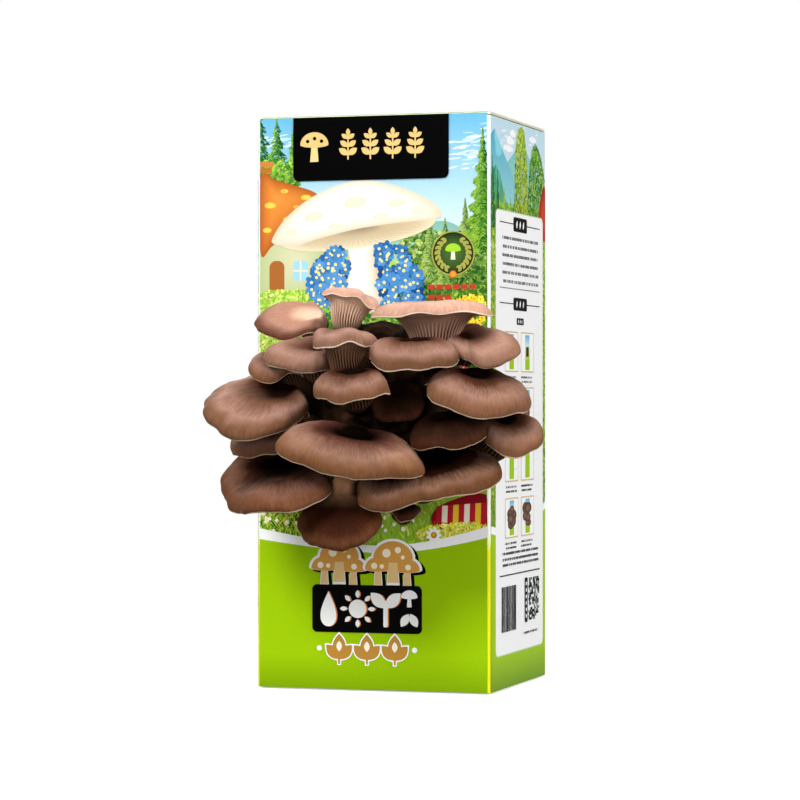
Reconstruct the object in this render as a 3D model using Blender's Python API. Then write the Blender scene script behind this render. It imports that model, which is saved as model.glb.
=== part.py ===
"""Oyster mushroom grow kit.

A printed carton stands upright and holds a bagged log of colonised sawdust.
A clump of oyster mushrooms grows out of a window in the carton's front wall.
Z is up, the front wall faces -Y, and the origin is the middle of the carton's
footprint on the table.  All dimensions below are millimetres.
"""
import math

import bmesh
import bpy
import numpy as np
from mathutils import Matrix

for old in list(bpy.data.objects):
    bpy.data.objects.remove(old, do_unlink=True)

MM = 0.001

# ---- driving dimensions -------------------------------------------------
CARTON_W = 106.0
CARTON_D = 94.0
CARTON_H = 250.0
CARD = 1.0              # fluted card
FOLD_R = 1.2            # outside radius of a folded edge
WALL_TOP = 248.6        # side and back walls stop under the lid
FRONT_TOP = 249.6       # the front wall stands up in front of the lid
FLAP_REACH = 38.0       # the two dust flaps under the lid
FLAP_Z = 246.6

WINDOW_W = 48.0
WINDOW_H = 62.0
WINDOW_X = 4.0
WINDOW_Z = 122.0

LID_HINGE_Y = 47.0
LID_HINGE_Z = 249.0
LID_FRONT = -45.6
LID_BACK = 46.6
TUCK_LEN = 16.0
TUCK_LEAN = 7.5         # degrees, leans inwards so that it clears the front wall

LOG_R = 43.6
LOG_Z0 = 3.0
LOG_Z1 = 190.0
FILM = 0.4
BAG_R = 44.5
NECK_R = 14.4
COLLAR_Z = 214.0

# the knot of young tissue that all the stems grow out of
BASE_X, BASE_Y, BASE_Z = 5.0, -50.0, 122.0
BASE_RX, BASE_RY, BASE_RZ = 32.0, 27.0, 38.0

AROUND = 16
CAP_RINGS = 4
UNDER_RINGS = 2
STEM_RINGS = 3
STEM_AROUND = 10


# ---- materials ----------------------------------------------------------
def material(name, colour, roughness, metallic=0.0):
    """One plain surface: base colour, roughness and metallic."""
    mat = bpy.data.materials.new(name)
    mat.use_nodes = True
    shader = mat.node_tree.nodes["Principled BSDF"]
    shader.inputs["Base Color"].default_value = (*colour, 1.0)
    shader.inputs["Roughness"].default_value = roughness
    shader.inputs["Metallic"].default_value = metallic
    mat.diffuse_color = (*colour, 1.0)
    return mat


# ---- mesh helpers -------------------------------------------------------
def add_object(name, bm, mat, smooth=False):
    """Turn a bmesh into a named object with one material."""
    bmesh.ops.recalc_face_normals(bm, faces=bm.faces)
    mesh = bpy.data.meshes.new(name)
    bm.to_mesh(mesh)
    bm.free()
    for poly in mesh.polygons:
        poly.use_smooth = smooth
    obj = bpy.data.objects.new(name, mesh)
    bpy.context.collection.objects.link(obj)
    if mat is not None:
        mesh.materials.append(mat)
    return obj


def prism(name, outline, low, high, axis, mat, smooth=False):
    """Extrude a closed outline from low to high along X, Y or Z."""
    bm = bmesh.new()
    place = {
        "X": lambda u, v, h: (h, u, v),
        "Y": lambda u, v, h: (u, h, v),
        "Z": lambda u, v, h: (u, v, h),
    }[axis]
    ends = []
    for height in (low, high):
        ring = []
        for u, v in outline:
            x, y, z = place(u, v, height)
            ring.append(bm.verts.new((x * MM, y * MM, z * MM)))
        ends.append(ring)
    count = len(outline)
    for i in range(count):
        j = (i + 1) % count
        bm.faces.new((ends[0][i], ends[0][j], ends[1][j], ends[1][i]))
    bm.faces.new(ends[0])
    bm.faces.new(list(reversed(ends[1])))
    return add_object(name, bm, mat, smooth)


def rounded_rect(width, height, radius, steps, cx=0.0, cy=0.0):
    """Corner arcs of a rounded rectangle, anticlockwise."""
    points = []
    corners = ((1, 1, 0), (-1, 1, 90), (-1, -1, 180), (1, -1, 270))
    for sx, sy, start in corners:
        for k in range(steps + 1):
            angle = math.radians(start + 90.0 * k / steps)
            u = cx + sx * (width / 2 - radius) + radius * math.cos(angle)
            v = cy + sy * (height / 2 - radius) + radius * math.sin(angle)
            points.append((u, v))
    return points


def lathe(name, profile, around, mat, closed=False):
    """Turn a profile of (radius, height) pairs about the Z axis.

    An open profile starts and ends on the axis; a closed one is a loop.
    """
    bm = bmesh.new()
    inner = profile if closed else profile[1:-1]
    rings = []
    for radius, height in inner:
        ring = []
        for k in range(around):
            angle = 2 * math.pi * k / around
            x = radius * math.cos(angle)
            y = radius * math.sin(angle)
            ring.append(bm.verts.new((x * MM, y * MM, height * MM)))
        rings.append(ring)
    pairs = list(zip(rings, rings[1:]))
    if closed:
        pairs.append((rings[-1], rings[0]))
    for first, second in pairs:
        for k in range(around):
            n = (k + 1) % around
            bm.faces.new((first[k], first[n], second[n], second[k]))
    if not closed:
        for ring, height in ((rings[0], profile[0][1]), (rings[-1], profile[-1][1])):
            pole = bm.verts.new((0.0, 0.0, height * MM))
            for k in range(around):
                bm.faces.new((pole, ring[k], ring[(k + 1) % around]))
    return add_object(name, bm, mat, smooth=True)


def combine(target, tool, operation):
    """Exact Boolean with a tool object that stays out of the render."""
    modifier = target.modifiers.new(operation.lower() + "_" + tool.name, "BOOLEAN")
    modifier.operation = operation
    modifier.solver = "EXACT"
    modifier.object = tool
    tool.hide_render = True
    tool.display_type = "WIRE"


# ---- carton -------------------------------------------------------------
card_mat = material("carton_card", (0.30, 0.51, 0.03), 0.45)
lid_mat = material("lid_card", (0.20, 0.42, 0.10), 0.45)

sheet = rounded_rect(CARTON_W, CARTON_D, FOLD_R, 3)
inside = rounded_rect(CARTON_W - 2 * CARD, CARTON_D - 2 * CARD, 0.4, 1)
opening = rounded_rect(WINDOW_W, WINDOW_H, 6.0, 4, WINDOW_X, WINDOW_Z)

carton = prism("carton_body", sheet, 0.0, WALL_TOP, "Z", card_mat)
cut_inside = prism("cut_inside", inside, CARD, CARTON_H + 5.0, "Z", None)
cut_window = prism("cut_window", opening, -60.0, -40.0, "Y", None)
combine(carton, cut_inside, "DIFFERENCE")
combine(carton, cut_window, "DIFFERENCE")

# the front wall stands a little higher than the other three
front_half = CARTON_W / 2 - 1.5
lip_y0 = -CARTON_D / 2
lip_y1 = lip_y0 + CARD
lip = [(lip_y0, 236.0), (lip_y1, 236.0), (lip_y1, FRONT_TOP), (lip_y0, FRONT_TOP)]
front_lip = prism("join_front_lip", lip, -front_half, front_half, "X", None)
combine(carton, front_lip, "UNION")

# two dust flaps folded in from the side walls
for side in (-1, 1):
    edge = side * (CARTON_W / 2 - CARD * 0.5)
    tip = side * (CARTON_W / 2 - FLAP_REACH)
    flap = [(edge, -41.0), (tip, -38.0), (tip, 38.0), (edge, 41.0)]
    dust = prism("join_flap_" + ("left" if side < 0 else "right"),
                 flap, FLAP_Z, FLAP_Z + CARD, "Z", None)
    combine(carton, dust, "UNION")


# ---- lid with its tuck flap ---------------------------------------------
# the mesh is drawn about the crease, so that the origin is on the hinge line
lean = math.radians(TUCK_LEAN)
front = LID_FRONT - LID_HINGE_Y
back = LID_BACK - LID_HINGE_Y
tuck_dy = math.sin(lean) * TUCK_LEN
tuck_dz = math.cos(lean) * TUCK_LEN
panel = [(back, 0.0), (back, CARD), (front + 0.6, CARD), (front, CARD - 0.6), (front, 0.0)]
tuck = [(front, 0.5), (front + CARD, 0.5),
        (front + CARD + tuck_dy, -tuck_dz), (front + tuck_dy, -tuck_dz)]
lid = prism("carton_lid", panel, -52.7, 52.7, "X", lid_mat)
tuck_flap = prism("join_tuck", tuck, -49.0, 49.0, "X", None)
combine(lid, tuck_flap, "UNION")
for moved in (lid, tuck_flap):
    moved.location = (0.0, LID_HINGE_Y * MM, LID_HINGE_Z * MM)


# ---- the log and its bag ------------------------------------------------
log_mat = material("colonised_sawdust", (0.55, 0.44, 0.33), 0.9)
film_mat = material("bag_film", (0.80, 0.82, 0.80), 0.25)
collar_mat = material("collar_plastic", (0.75, 0.76, 0.75), 0.35)
plug_mat = material("plug_plastic", (0.85, 0.85, 0.83), 0.4)

lathe("substrate_block", [
    (0.0, LOG_Z0), (LOG_R - 3.0, LOG_Z0), (LOG_R, LOG_Z0 + 3.0),
    (LOG_R, LOG_Z1 - 5.0), (LOG_R - 5.0, LOG_Z1), (0.0, LOG_Z1),
], 24, log_mat)

outside = [
    (6.0, 1.6), (BAG_R - 3.0, 1.6), (BAG_R, 4.0), (BAG_R, 187.0),
    (BAG_R - 5.0, 195.0), (NECK_R + 8.0, 205.0), (NECK_R, 212.0), (NECK_R, 226.0),
]
film_inside = []
for radius, height in reversed(outside[3:]):
    film_inside.append((radius - FILM, height))
film_inside[0] = (NECK_R - FILM, 226.0)
film_inside += [(BAG_R - FILM, 4.4), (BAG_R - 3.0 - FILM, 1.6 + FILM), (6.0, 1.6 + FILM)]
bag = lathe("grow_bag", [(0.0, 1.6)] + outside + film_inside + [(0.0, 1.6 + FILM)], 24, film_mat)
slit = rounded_rect(WINDOW_W + 2.0, WINDOW_H + 2.0, 7.0, 3, WINDOW_X, WINDOW_Z)
cut_slit = prism("cut_slit", slit, -60.0, -20.0, "Y", None)
combine(bag, cut_slit, "DIFFERENCE")

lathe("bag_collar", [
    (NECK_R + 0.6, COLLAR_Z), (NECK_R + 5.6, COLLAR_Z), (NECK_R + 5.6, COLLAR_Z + 2.0),
    (NECK_R + 2.2, COLLAR_Z + 3.0), (NECK_R + 2.2, COLLAR_Z + 12.0), (NECK_R + 0.6, COLLAR_Z + 12.0),
], 20, collar_mat, closed=True)

lathe("bag_plug", [
    (0.0, 216.0), (NECK_R - FILM - 0.6, 216.0), (NECK_R - FILM - 0.6, 227.0),
    (NECK_R + 4.0, 227.0), (NECK_R + 4.0, 231.0), (NECK_R + 2.0, 233.0), (0.0, 233.0),
], 20, plug_mat)


# ---- the knot that the stems grow out of --------------------------------
base_mat = material("young_tissue", (0.66, 0.56, 0.42), 0.8)
bm = bmesh.new()
bmesh.ops.create_uvsphere(bm, u_segments=20, v_segments=12, radius=1.0)
for vert in bm.verts:
    x, y, z = vert.co
    vert.co = (x * BASE_RX * MM, y * BASE_RY * MM, z * BASE_RZ * MM)
base = add_object("cluster_base", bm, base_mat, smooth=True)
base.location = (BASE_X * MM, BASE_Y * MM, BASE_Z * MM)

# flat behind, a third of a millimetre clear of the card
behind = rounded_rect(120.0, 120.0, 2.0, 1, BASE_X, BASE_Z)
cut_behind = prism("cut_behind", behind, -47.5, 0.0, "Y", None)
combine(base, cut_behind, "DIFFERENCE")

# a neck through the window, hollowed to sit against the log
neck_outline = rounded_rect(WINDOW_W - 4.0, WINDOW_H - 4.0, 8.0, 4, WINDOW_X, WINDOW_Z)
neck = prism("join_neck", neck_outline, -52.0, -32.0, "Y", None)
log_clear = lathe("cut_log", [
    (0.0, 0.0), (LOG_R + 0.4, 0.0), (LOG_R + 0.4, 240.0), (0.0, 240.0),
], 48, None)
combine(base, neck, "UNION")
combine(base, log_clear, "DIFFERENCE")


# ---- mushrooms ----------------------------------------------------------
def cap_frame(heading, pitch, roll):
    """Side, forward and up directions of a cap.

    Heading turns it from straight out (-Y) towards +X, pitch tips its front
    edge down and roll lowers its own right-hand side; all in degrees.
    """
    h, p, r = (math.radians(angle) for angle in (heading, pitch, roll))
    forward = np.array([math.sin(h) * math.cos(p), -math.cos(h) * math.cos(p), -math.sin(p)])
    up = np.array([math.sin(h) * math.sin(p), -math.cos(h) * math.sin(p), math.cos(p)])
    side = np.cross(forward, up)
    return (side * math.cos(r) - up * math.sin(r), forward,
            up * math.cos(r) + side * math.sin(r))


def outline_of(half, ahead, behind_stem, theta, waves, nick):
    """Distance from the stem to the cap's edge in direction theta.

    An ellipse whose middle lies ahead of the stem, with slow lobes and, if
    asked for, one narrow nick.
    """
    along = (ahead + behind_stem) / 2
    shift = (ahead - behind_stem) / 2
    c, s = np.cos(theta), np.sin(theta)
    qa = (c / along) ** 2 + (s / half) ** 2
    qb = -2 * shift * c / along ** 2
    qc = (shift / along) ** 2 - 1
    reach = (-qb + np.sqrt(qb * qb - 4 * qa * qc)) / (2 * qa)
    reach *= 1 + 0.035 * np.cos(2 * theta + waves[0]) + 0.03 * np.cos(3 * theta + waves[1]) \
        + 0.02 * np.cos(5 * theta + waves[2])
    if nick:
        away = np.angle(np.exp(1j * (theta - math.radians(nick[0]))))
        reach *= 1 - nick[1] * np.exp(-(away / 0.10) ** 2)
    return reach


def cap_top(reach, theta, rho, shape, waves):
    """Point of the upper skin at share rho of the way from stem to edge.

    The skin dips over the stem, rises to a shoulder, rolls down to the edge
    and falls away behind the stem; the edge waves gently.
    """
    x = rho * reach * np.sin(theta)
    y = rho * reach * np.cos(theta)
    z = -shape["crown"] * rho ** shape["roll_power"]
    z = z + shape["dip"] * (1 - np.exp(-(rho / shape["dip_width"]) ** 2))
    z = z - shape["tail"] * np.where(y < 0, (y / shape["behind"]) ** 2, 0.0)
    z = z + rho ** 3 * (np.cos(3 * theta + waves[3]) + 0.7 * np.cos(4 * theta + waves[4])
                        + 0.5 * np.cos(7 * theta + waves[5]))
    return np.stack([x, y, z], -1)


def stem_root(x, z):
    """Where a stem meets the knot, and the outward direction there."""
    u = (x - BASE_X) / BASE_RX
    w = (z - BASE_Z) / BASE_RZ
    v = -math.sqrt(1 - u * u - w * w)
    normal = np.array([u / BASE_RX, v / BASE_RY, w / BASE_RZ])
    normal /= np.linalg.norm(normal)
    point = np.array([x, BASE_Y + v * BASE_RY, z])
    return point + 0.5 * normal, normal


def cap_rings(shape):
    """Rings of points from the middle of the cap over its edge to the stem.

    Everything is in the cap's own frame: x side, y forward, z up.
    """
    theta = np.linspace(0.0, 2 * np.pi, AROUND, endpoint=False)
    waves = np.random.default_rng(shape["seed"]).uniform(0, 2 * np.pi, 6)
    reach = outline_of(shape["half"], shape["ahead"], shape["behind"], theta, waves, shape["nick"])
    rings = []
    for k in range(1, CAP_RINGS + 1):
        rho = math.sin(0.5 * math.pi * k / CAP_RINGS) ** 0.85
        rings.append(cap_top(reach, theta, rho, shape, waves))
    edge = rings[-1] * np.array([0.985, 0.985, 1.0]) - np.array([0.0, 0.0, shape["edge"]])
    rings.append(edge)
    stem_top = shape["stem"] * 1.25
    for k in range(1, UNDER_RINGS + 1):
        inner = np.minimum(stem_top, 0.72 * reach)
        radius = 0.93 * reach + (inner - 0.93 * reach) * k / UNDER_RINGS
        rho = radius / reach
        ring = cap_top(reach, theta, rho, shape, waves)
        flesh = 0.8 * shape["edge"]
        ring[:, 2] -= flesh + (shape["thick"] - flesh) * (1 - rho) ** 0.8
        ring[:, 2] -= shape["flare"] * np.exp(-(radius - stem_top) / (0.22 * shape["half"]))
        rings.append(ring)
    return rings


def stem_rings(shape, top, root, out):
    """Rings of points along the stem, from inside the cap to the knot.

    A Bezier curve leaves the underside of the cap leaning back and enters
    the knot squarely; the stem narrows below the cap and widens at its foot.
    """
    span = np.linalg.norm(top - root)
    leave = math.radians(shape["lean"])
    first = top + span * shape["bend"] * np.array([0.0, -math.sin(leave), -math.cos(leave)])
    second = root + out * span * 0.45
    theta = np.linspace(0.0, 2 * np.pi, STEM_AROUND, endpoint=False)
    circle = np.stack([np.sin(theta), np.cos(theta), np.zeros(STEM_AROUND)], -1)
    rings = [0.6 * top + shape["stem"] * 0.9 * circle]
    for k in range(1, STEM_RINGS + 1):
        t = k / STEM_RINGS
        centre = (1 - t) ** 3 * top + 3 * (1 - t) ** 2 * t * first \
            + 3 * (1 - t) * t * t * second + t ** 3 * root
        along = 3 * (1 - t) ** 2 * (first - top) + 6 * (1 - t) * t * (second - first) \
            + 3 * t * t * (root - second)
        along = along / np.linalg.norm(along)
        down = np.array([0.0, 0.0, -1.0])
        axis = np.cross(down, along)
        cosine = float(down @ along)
        turned = circle * cosine + np.cross(axis, circle) \
            + np.outer(circle @ axis, axis) / (1 + cosine + 1e-9)
        radius = shape["stem"] * (1.25 - 0.25 * min(1.0, 2.5 * t) + 0.15 * t)
        rings.append(centre + radius * turned)
    return rings


def ring_solid(name, rings, mat):
    """Join rings of equal count into one closed skin with a fan at each end."""
    bm = bmesh.new()
    verts = [[bm.verts.new(tuple(point * MM)) for point in ring] for ring in rings]
    ends = []
    for ring, middle in ((verts[0], rings[0]), (verts[-1], rings[-1])):
        ends.append((bm.verts.new(tuple(middle.mean(axis=0) * MM)), ring))
    count = len(verts[0])
    for j in range(count):
        n = (j + 1) % count
        bm.faces.new((ends[0][0], ends[0][1][n], ends[0][1][j]))
        bm.faces.new((ends[1][0], ends[1][1][j], ends[1][1][n]))
        for upper, lower in zip(verts, verts[1:]):
            bm.faces.new((upper[j], upper[n], lower[n], lower[j]))
    bmesh.ops.triangulate(bm, faces=bm.faces)
    return add_object(name, bm, mat, smooth=True)


def add_mushroom(name, colour, spot, turn, root_xz, size, **extra):
    """One cap and stem, built in the cap's frame and then put in place."""
    shape = {
        "half": size[0], "ahead": size[1], "behind": size[2], "crown": 8.0, "dip": 3.0,
        "dip_width": 0.38, "roll_power": 2.8, "tail": 0.0, "thick": 6.0, "flare": 6.0,
        "stem": 6.0, "edge": 1.4, "lean": 50.0, "bend": 0.2, "seed": 0, "nick": None,
    }
    shape.update(extra)
    side, forward, up = cap_frame(*turn)
    to_world = np.stack([side, forward, up], 1)
    root, out = stem_root(*root_xz)
    rings = cap_rings(shape)
    top = rings[-1].mean(axis=0)
    stalk = stem_rings(shape, top, to_world.T @ (root - np.array(spot)), to_world.T @ out)
    cap = ring_solid(name, rings, material(name + "_flesh", colour, 0.6))
    stem = ring_solid("join_stem_" + name[-2:], stalk, None)
    matrix = Matrix([[float(value) for value in row] for row in to_world]).to_4x4()
    for obj in (cap, stem):
        obj.rotation_euler = matrix.to_euler()
        obj.location = tuple(float(value) * MM for value in spot)
    combine(cap, stem, "UNION")


PALE = (0.42, 0.25, 0.17)
TAN = (0.30, 0.165, 0.105)
BROWN = (0.20, 0.105, 0.067)
DARK = (0.13, 0.065, 0.042)

# name, colour, where cap and stem meet, (heading, pitch, roll), root (x, z),
# (half width, reach ahead, reach behind) and the cap's own shape
add_mushroom("mushroom_01", PALE, (0, -74, 171), (10, -6, -14), (-2, 150), (12.5, 13, 10),
             crown=3, flare=8, stem=5.5, dip=2, seed=1, thick=3, lean=0)
add_mushroom("mushroom_02", PALE, (37, -77, 167), (12, -2, 1), (21, 148), (25.5, 20, 15),
             crown=4, roll_power=4, flare=15, stem=7.5, dip=1, seed=2, thick=3, lean=0, bend=0.3)
add_mushroom("mushroom_03", PALE, (-18, -70, 161.5), (-80, -2, -34), (-15, 146), (12.5, 26, 5),
             crown=6, dip=3, stem=5.5, seed=3, lean=45, tail=3, flare=4, thick=4.5)
add_mushroom("mushroom_04", TAN, (-12, -80.5, 147.5), (-48, 8, -24), (-12, 134), (14, 25, 6),
             crown=7, dip=4, stem=5.5, seed=4, lean=45, tail=4, flare=4, thick=5, bend=0.1)
add_mushroom("mushroom_05", TAN, (3, -93, 153.5), (8, -2, 0), (6, 138), (14, 13, 9),
             crown=8, flare=8, dip=3, stem=5.5, seed=5, lean=30, tail=1)
add_mushroom("mushroom_06", TAN, (35, -98, 149.5), (17, 16, 0), (19, 134), (18, 16, 8),
             crown=11, dip=4, stem=5.5, seed=6, lean=70, tail=4, flare=3, thick=4.5)
add_mushroom("mushroom_07", TAN, (52, -77, 153), (68, 12, 26), (31, 143), (12.5, 25, 4),
             crown=6, dip=3, stem=5.5, seed=7, lean=50, tail=3, flare=4, thick=5, nick=(40, 0.15))
add_mushroom("mushroom_08", BROWN, (-26, -81, 143.5), (-60, 8, -20), (-20, 125), (11, 18, 6),
             crown=7, dip=3, stem=4, seed=8, lean=60, tail=3, flare=2, thick=4)
add_mushroom("mushroom_09", BROWN, (-27, -85, 130), (-48, 16, -22), (-15, 108), (23, 34, 7),
             crown=12, dip=3, stem=7, seed=9, lean=60, tail=5)
add_mushroom("mushroom_10", BROWN, (14, -114, 136.5), (8, 22, 2), (4, 125), (17, 15, 6),
             crown=10, dip=4, stem=5.5, seed=10, lean=60, tail=4)
add_mushroom("mushroom_11", DARK, (26.3, -95, 130.2), (17, 62, 0), (16, 118), (11.2, 15, 6),
             crown=4, dip=2, stem=4.5, seed=11, lean=60, tail=2, flare=3, thick=4)
add_mushroom("mushroom_12", BROWN, (56, -86, 136), (42, 22, -2), (29, 117), (22, 28, 8),
             crown=12, dip=5, stem=6.5, seed=12, lean=60, tail=5)
add_mushroom("mushroom_13", BROWN, (66, -78, 116.5), (62, 20, 14), (31, 104), (14, 22, 7),
             crown=9, dip=5, stem=6, seed=13, lean=50, tail=4)
add_mushroom("mushroom_14", BROWN, (48, -96, 118.5), (25, 28, 12), (18, 106), (16, 16, 7),
             crown=10, dip=4, stem=5.5, seed=14, lean=75, tail=4, flare=3, thick=4.5)
add_mushroom("mushroom_15", BROWN, (-38.8, -73.6, 112.1), (-55, 20, -12), (-18, 98), (13, 17, 6),
             crown=8, dip=3, stem=4.5, seed=15, lean=60, tail=3, flare=4, thick=5)
add_mushroom("mushroom_16", BROWN, (11, -104, 112), (5, 29, -10), (2, 110), (29, 23, 8),
             crown=13, dip=6, stem=7.5, seed=16, lean=60, tail=6)
add_mushroom("mushroom_17", BROWN, (-28.5, -88, 97), (-32, 28, -6), (-8, 93), (28, 28, 8),
             crown=12, dip=5, stem=6, seed=17, lean=60, tail=5)
add_mushroom("mushroom_18", BROWN, (36, -90, 100.5), (26, 29, 12), (22, 92), (30, 23, 6),
             crown=12, dip=3, stem=6.5, seed=18, lean=60, tail=5)
add_mushroom("mushroom_19", BROWN, (2, -92, 86), (5, 60, 0), (6, 96), (19, 24, 7),
             crown=7, dip=3, dip_width=0.5, stem=5.3, seed=19, lean=75, tail=2, bend=0.4)
add_mushroom("mushroom_20", DARK, (26.5, -85.5, 80), (20, 20, 0), (12, 86), (6.5, 8, 4),
             crown=4, stem=2.6, seed=20, lean=40, flare=2, thick=3)
add_mushroom("mushroom_21", DARK, (40.5, -75.5, 136.8), (38, 6, 4), (32, 129), (9.5, 10, 6),
             crown=5, stem=3.5, seed=21, lean=50, flare=3, thick=4)
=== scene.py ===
"""Oyster mushroom grow kit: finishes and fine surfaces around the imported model.

Lengths are millimetres until they go into a mesh; textures, lights and the
camera are in metres.
"""
import math

import bpy
import numpy as np
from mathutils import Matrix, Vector


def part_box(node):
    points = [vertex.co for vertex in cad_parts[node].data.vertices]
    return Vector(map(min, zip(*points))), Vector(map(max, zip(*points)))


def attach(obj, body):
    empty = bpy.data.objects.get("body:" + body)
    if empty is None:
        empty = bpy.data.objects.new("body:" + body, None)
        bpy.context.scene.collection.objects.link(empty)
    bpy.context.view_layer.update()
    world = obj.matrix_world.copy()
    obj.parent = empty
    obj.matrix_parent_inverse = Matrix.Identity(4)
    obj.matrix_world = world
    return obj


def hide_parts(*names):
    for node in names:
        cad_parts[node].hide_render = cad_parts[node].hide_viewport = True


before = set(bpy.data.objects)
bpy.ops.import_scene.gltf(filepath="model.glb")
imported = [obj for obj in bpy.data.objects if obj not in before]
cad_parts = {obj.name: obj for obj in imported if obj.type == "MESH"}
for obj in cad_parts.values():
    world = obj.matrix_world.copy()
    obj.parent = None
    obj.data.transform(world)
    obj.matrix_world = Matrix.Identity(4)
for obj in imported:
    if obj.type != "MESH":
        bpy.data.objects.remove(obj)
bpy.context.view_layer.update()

# Soft round lamps: the key at the upper left in front, a weak low one in front,
# a fill on the right, one behind and one overhead.


def linear(code):
    """sRGB hex to linear: c / 12.92 up to 0.04045, else ((c + 0.055) / 1.055) ** 2.4."""
    c = np.array([int(code[i:i + 2], 16) for i in (1, 3, 5)]) / 255.0
    return np.where(c <= 0.04045, c / 12.92, ((c + 0.055) / 1.055) ** 2.4)


def rgba(code):
    """The same colour as a tuple with full alpha, for a socket."""
    return (*(float(c) for c in linear(code)), 1.0)


def add(tree, kind, settings=None, inputs=None, links=None, stops=()):
    """Add one node: its properties, socket values, links and (place, colour) stops."""
    made = tree.nodes.new("ShaderNode" + kind)
    for name, value in (settings or {}).items():
        setattr(made, name, value)
    for key, value in (inputs or {}).items():
        made.inputs[key].default_value = value
    for key, source in (links or {}).items():
        tree.links.new(source, made.inputs[key])
    for end in (0, -1) if stops else ():
        made.color_ramp.elements[end].position, made.color_ramp.elements[end].color = stops[end]
    for where, colour in stops[1:-1]:
        made.color_ramp.elements.new(where).color = colour
    return made


def new_finish(name, **sockets):
    """A Principled material with constants on the shader's own sockets."""
    made = bpy.data.materials.new(name)
    made.use_nodes = True
    shader = made.node_tree.nodes["Principled BSDF"]
    for key, value in sockets.items():
        shader.inputs[key.replace("_", " ")].default_value = value
    return made, made.node_tree, shader


def piece_from(name, points, faces, material, smooth=True, **attributes):
    """One object from points (n, 3) in mm and arrays of equal-sided faces."""
    mesh = bpy.data.meshes.new(name)
    corners = np.concatenate([f.ravel() for f in faces]).astype(np.int32)
    sizes = np.concatenate([np.full(len(f), f.shape[1]) for f in faces])
    mesh.vertices.add(len(points))
    mesh.vertices.foreach_set("co", (points * 0.001).astype(np.float32).ravel())
    mesh.loops.add(len(corners))
    mesh.polygons.add(len(sizes))
    mesh.polygons.foreach_set("loop_start", np.concatenate([[0], np.cumsum(sizes)[:-1]]).astype(np.int32))
    mesh.polygons.foreach_set("vertices", corners)
    mesh.polygons.foreach_set("use_smooth", np.full(len(sizes), smooth))
    mesh.update(calc_edges=True)
    for key, values in attributes.items():
        kind, field = ("FLOAT", "value") if values.ndim == 1 else ("FLOAT_VECTOR", "vector")
        layer = mesh.attributes.new(key, kind, "POINT")
        layer.data.foreach_set(field, values.astype(np.float32).ravel())
    made = bpy.data.objects.new(name, mesh)
    bpy.context.scene.collection.objects.link(made)
    mesh.materials.append(material)
    return made


scene = bpy.context.scene
scene.view_settings.view_transform = "Standard"

TABLE_R, TABLE_Z = 9000.0, -0.6
AROUND_STAGE = 96
ring_r = np.array([120.0, 260.0, 450.0, 900.0, 2500.0, TABLE_R])
turns = np.linspace(0, 2 * np.pi, AROUND_STAGE, endpoint=False)
rings = np.stack([np.outer(ring_r, np.cos(turns)), np.outer(ring_r, np.sin(turns)),
                  np.full((len(ring_r), AROUND_STAGE), TABLE_Z)], -1).reshape(-1, 3)
table_points = np.vstack([rings, [[0.0, 0.0, TABLE_Z]]])


def ring_faces(ring_count, around):
    """Quads between neighbouring closed rings of points, outer side outwards."""
    j = np.arange(around)
    k = np.arange(ring_count - 1)[:, None] * around
    n = (j + 1) % around
    return np.stack([k + j, k + j + around, k + n + around, k + n], -1).reshape(-1, 4)


def fan(middle, ring, flipped=False):
    """Triangles from a middle point to each side of a closed ring of points."""
    made = np.stack([np.full(len(ring), middle), ring, np.roll(ring, -1)], -1)
    return made[:, [0, 2, 1]] if flipped else made


table_white, tree, shader = new_finish(
    "white_table_laminate", Roughness=0.55, Base_Color=rgba("#f4f4f4"), Specular_IOR_Level=0.2,
    Emission_Color=(1, 1, 1, 1), Emission_Strength=0.45)
place = add(tree, "TexCoord").outputs["Object"]
far = add(tree, "VectorMath", {"operation": "LENGTH"}, links={0: place})
fade = add(tree, "MapRange", {"interpolation_type": "SMOOTHSTEP"},
           {"From Min": 0.16, "From Max": 0.55}, {"Value": far.outputs["Value"]})
glow = add(tree, "Emission", None, {"Color": (1, 1, 1, 1), "Strength": 1.0})
mixed = add(tree, "MixShader", None, None,
            {0: fade.outputs[0], 1: shader.outputs[0], 2: glow.outputs[0]})
tree.links.new(mixed.outputs[0], tree.nodes["Material Output"].inputs["Surface"])
centre = fan(len(table_points) - 1, np.arange(AROUND_STAGE))
table_top = piece_from("table_top", table_points, [ring_faces(len(ring_r), AROUND_STAGE), centre],
                       table_white)
table_top.visible_diffuse = False

# the studio's wall, seen by the camera but not adding light
wall_white, tree, shader = new_finish("studio_wall_white")
glow = add(tree, "Emission", None, {"Color": (1, 1, 1, 1), "Strength": 1.0})
tree.links.new(glow.outputs[0], tree.nodes["Material Output"].inputs["Surface"])
lift = np.linspace(-0.1, 0.5 * np.pi, 24)[:-1]
dome = np.stack([np.outer(np.cos(lift), np.cos(turns)), np.outer(np.cos(lift), np.sin(turns)),
                 np.outer(np.sin(lift), np.ones(AROUND_STAGE))], -1).reshape(-1, 3) * TABLE_R * 0.98
top_ring = len(dome) - AROUND_STAGE + np.arange(AROUND_STAGE)
crown = fan(len(dome), top_ring)
dome = np.vstack([dome, [[0.0, 0.0, TABLE_R * 0.98]]])
studio_wall = piece_from("studio_wall", dome, [ring_faces(len(lift), AROUND_STAGE), crown], wall_white)
for ray in ("diffuse", "glossy", "transmission", "shadow"):
    setattr(studio_wall, "visible_" + ray, False)

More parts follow.
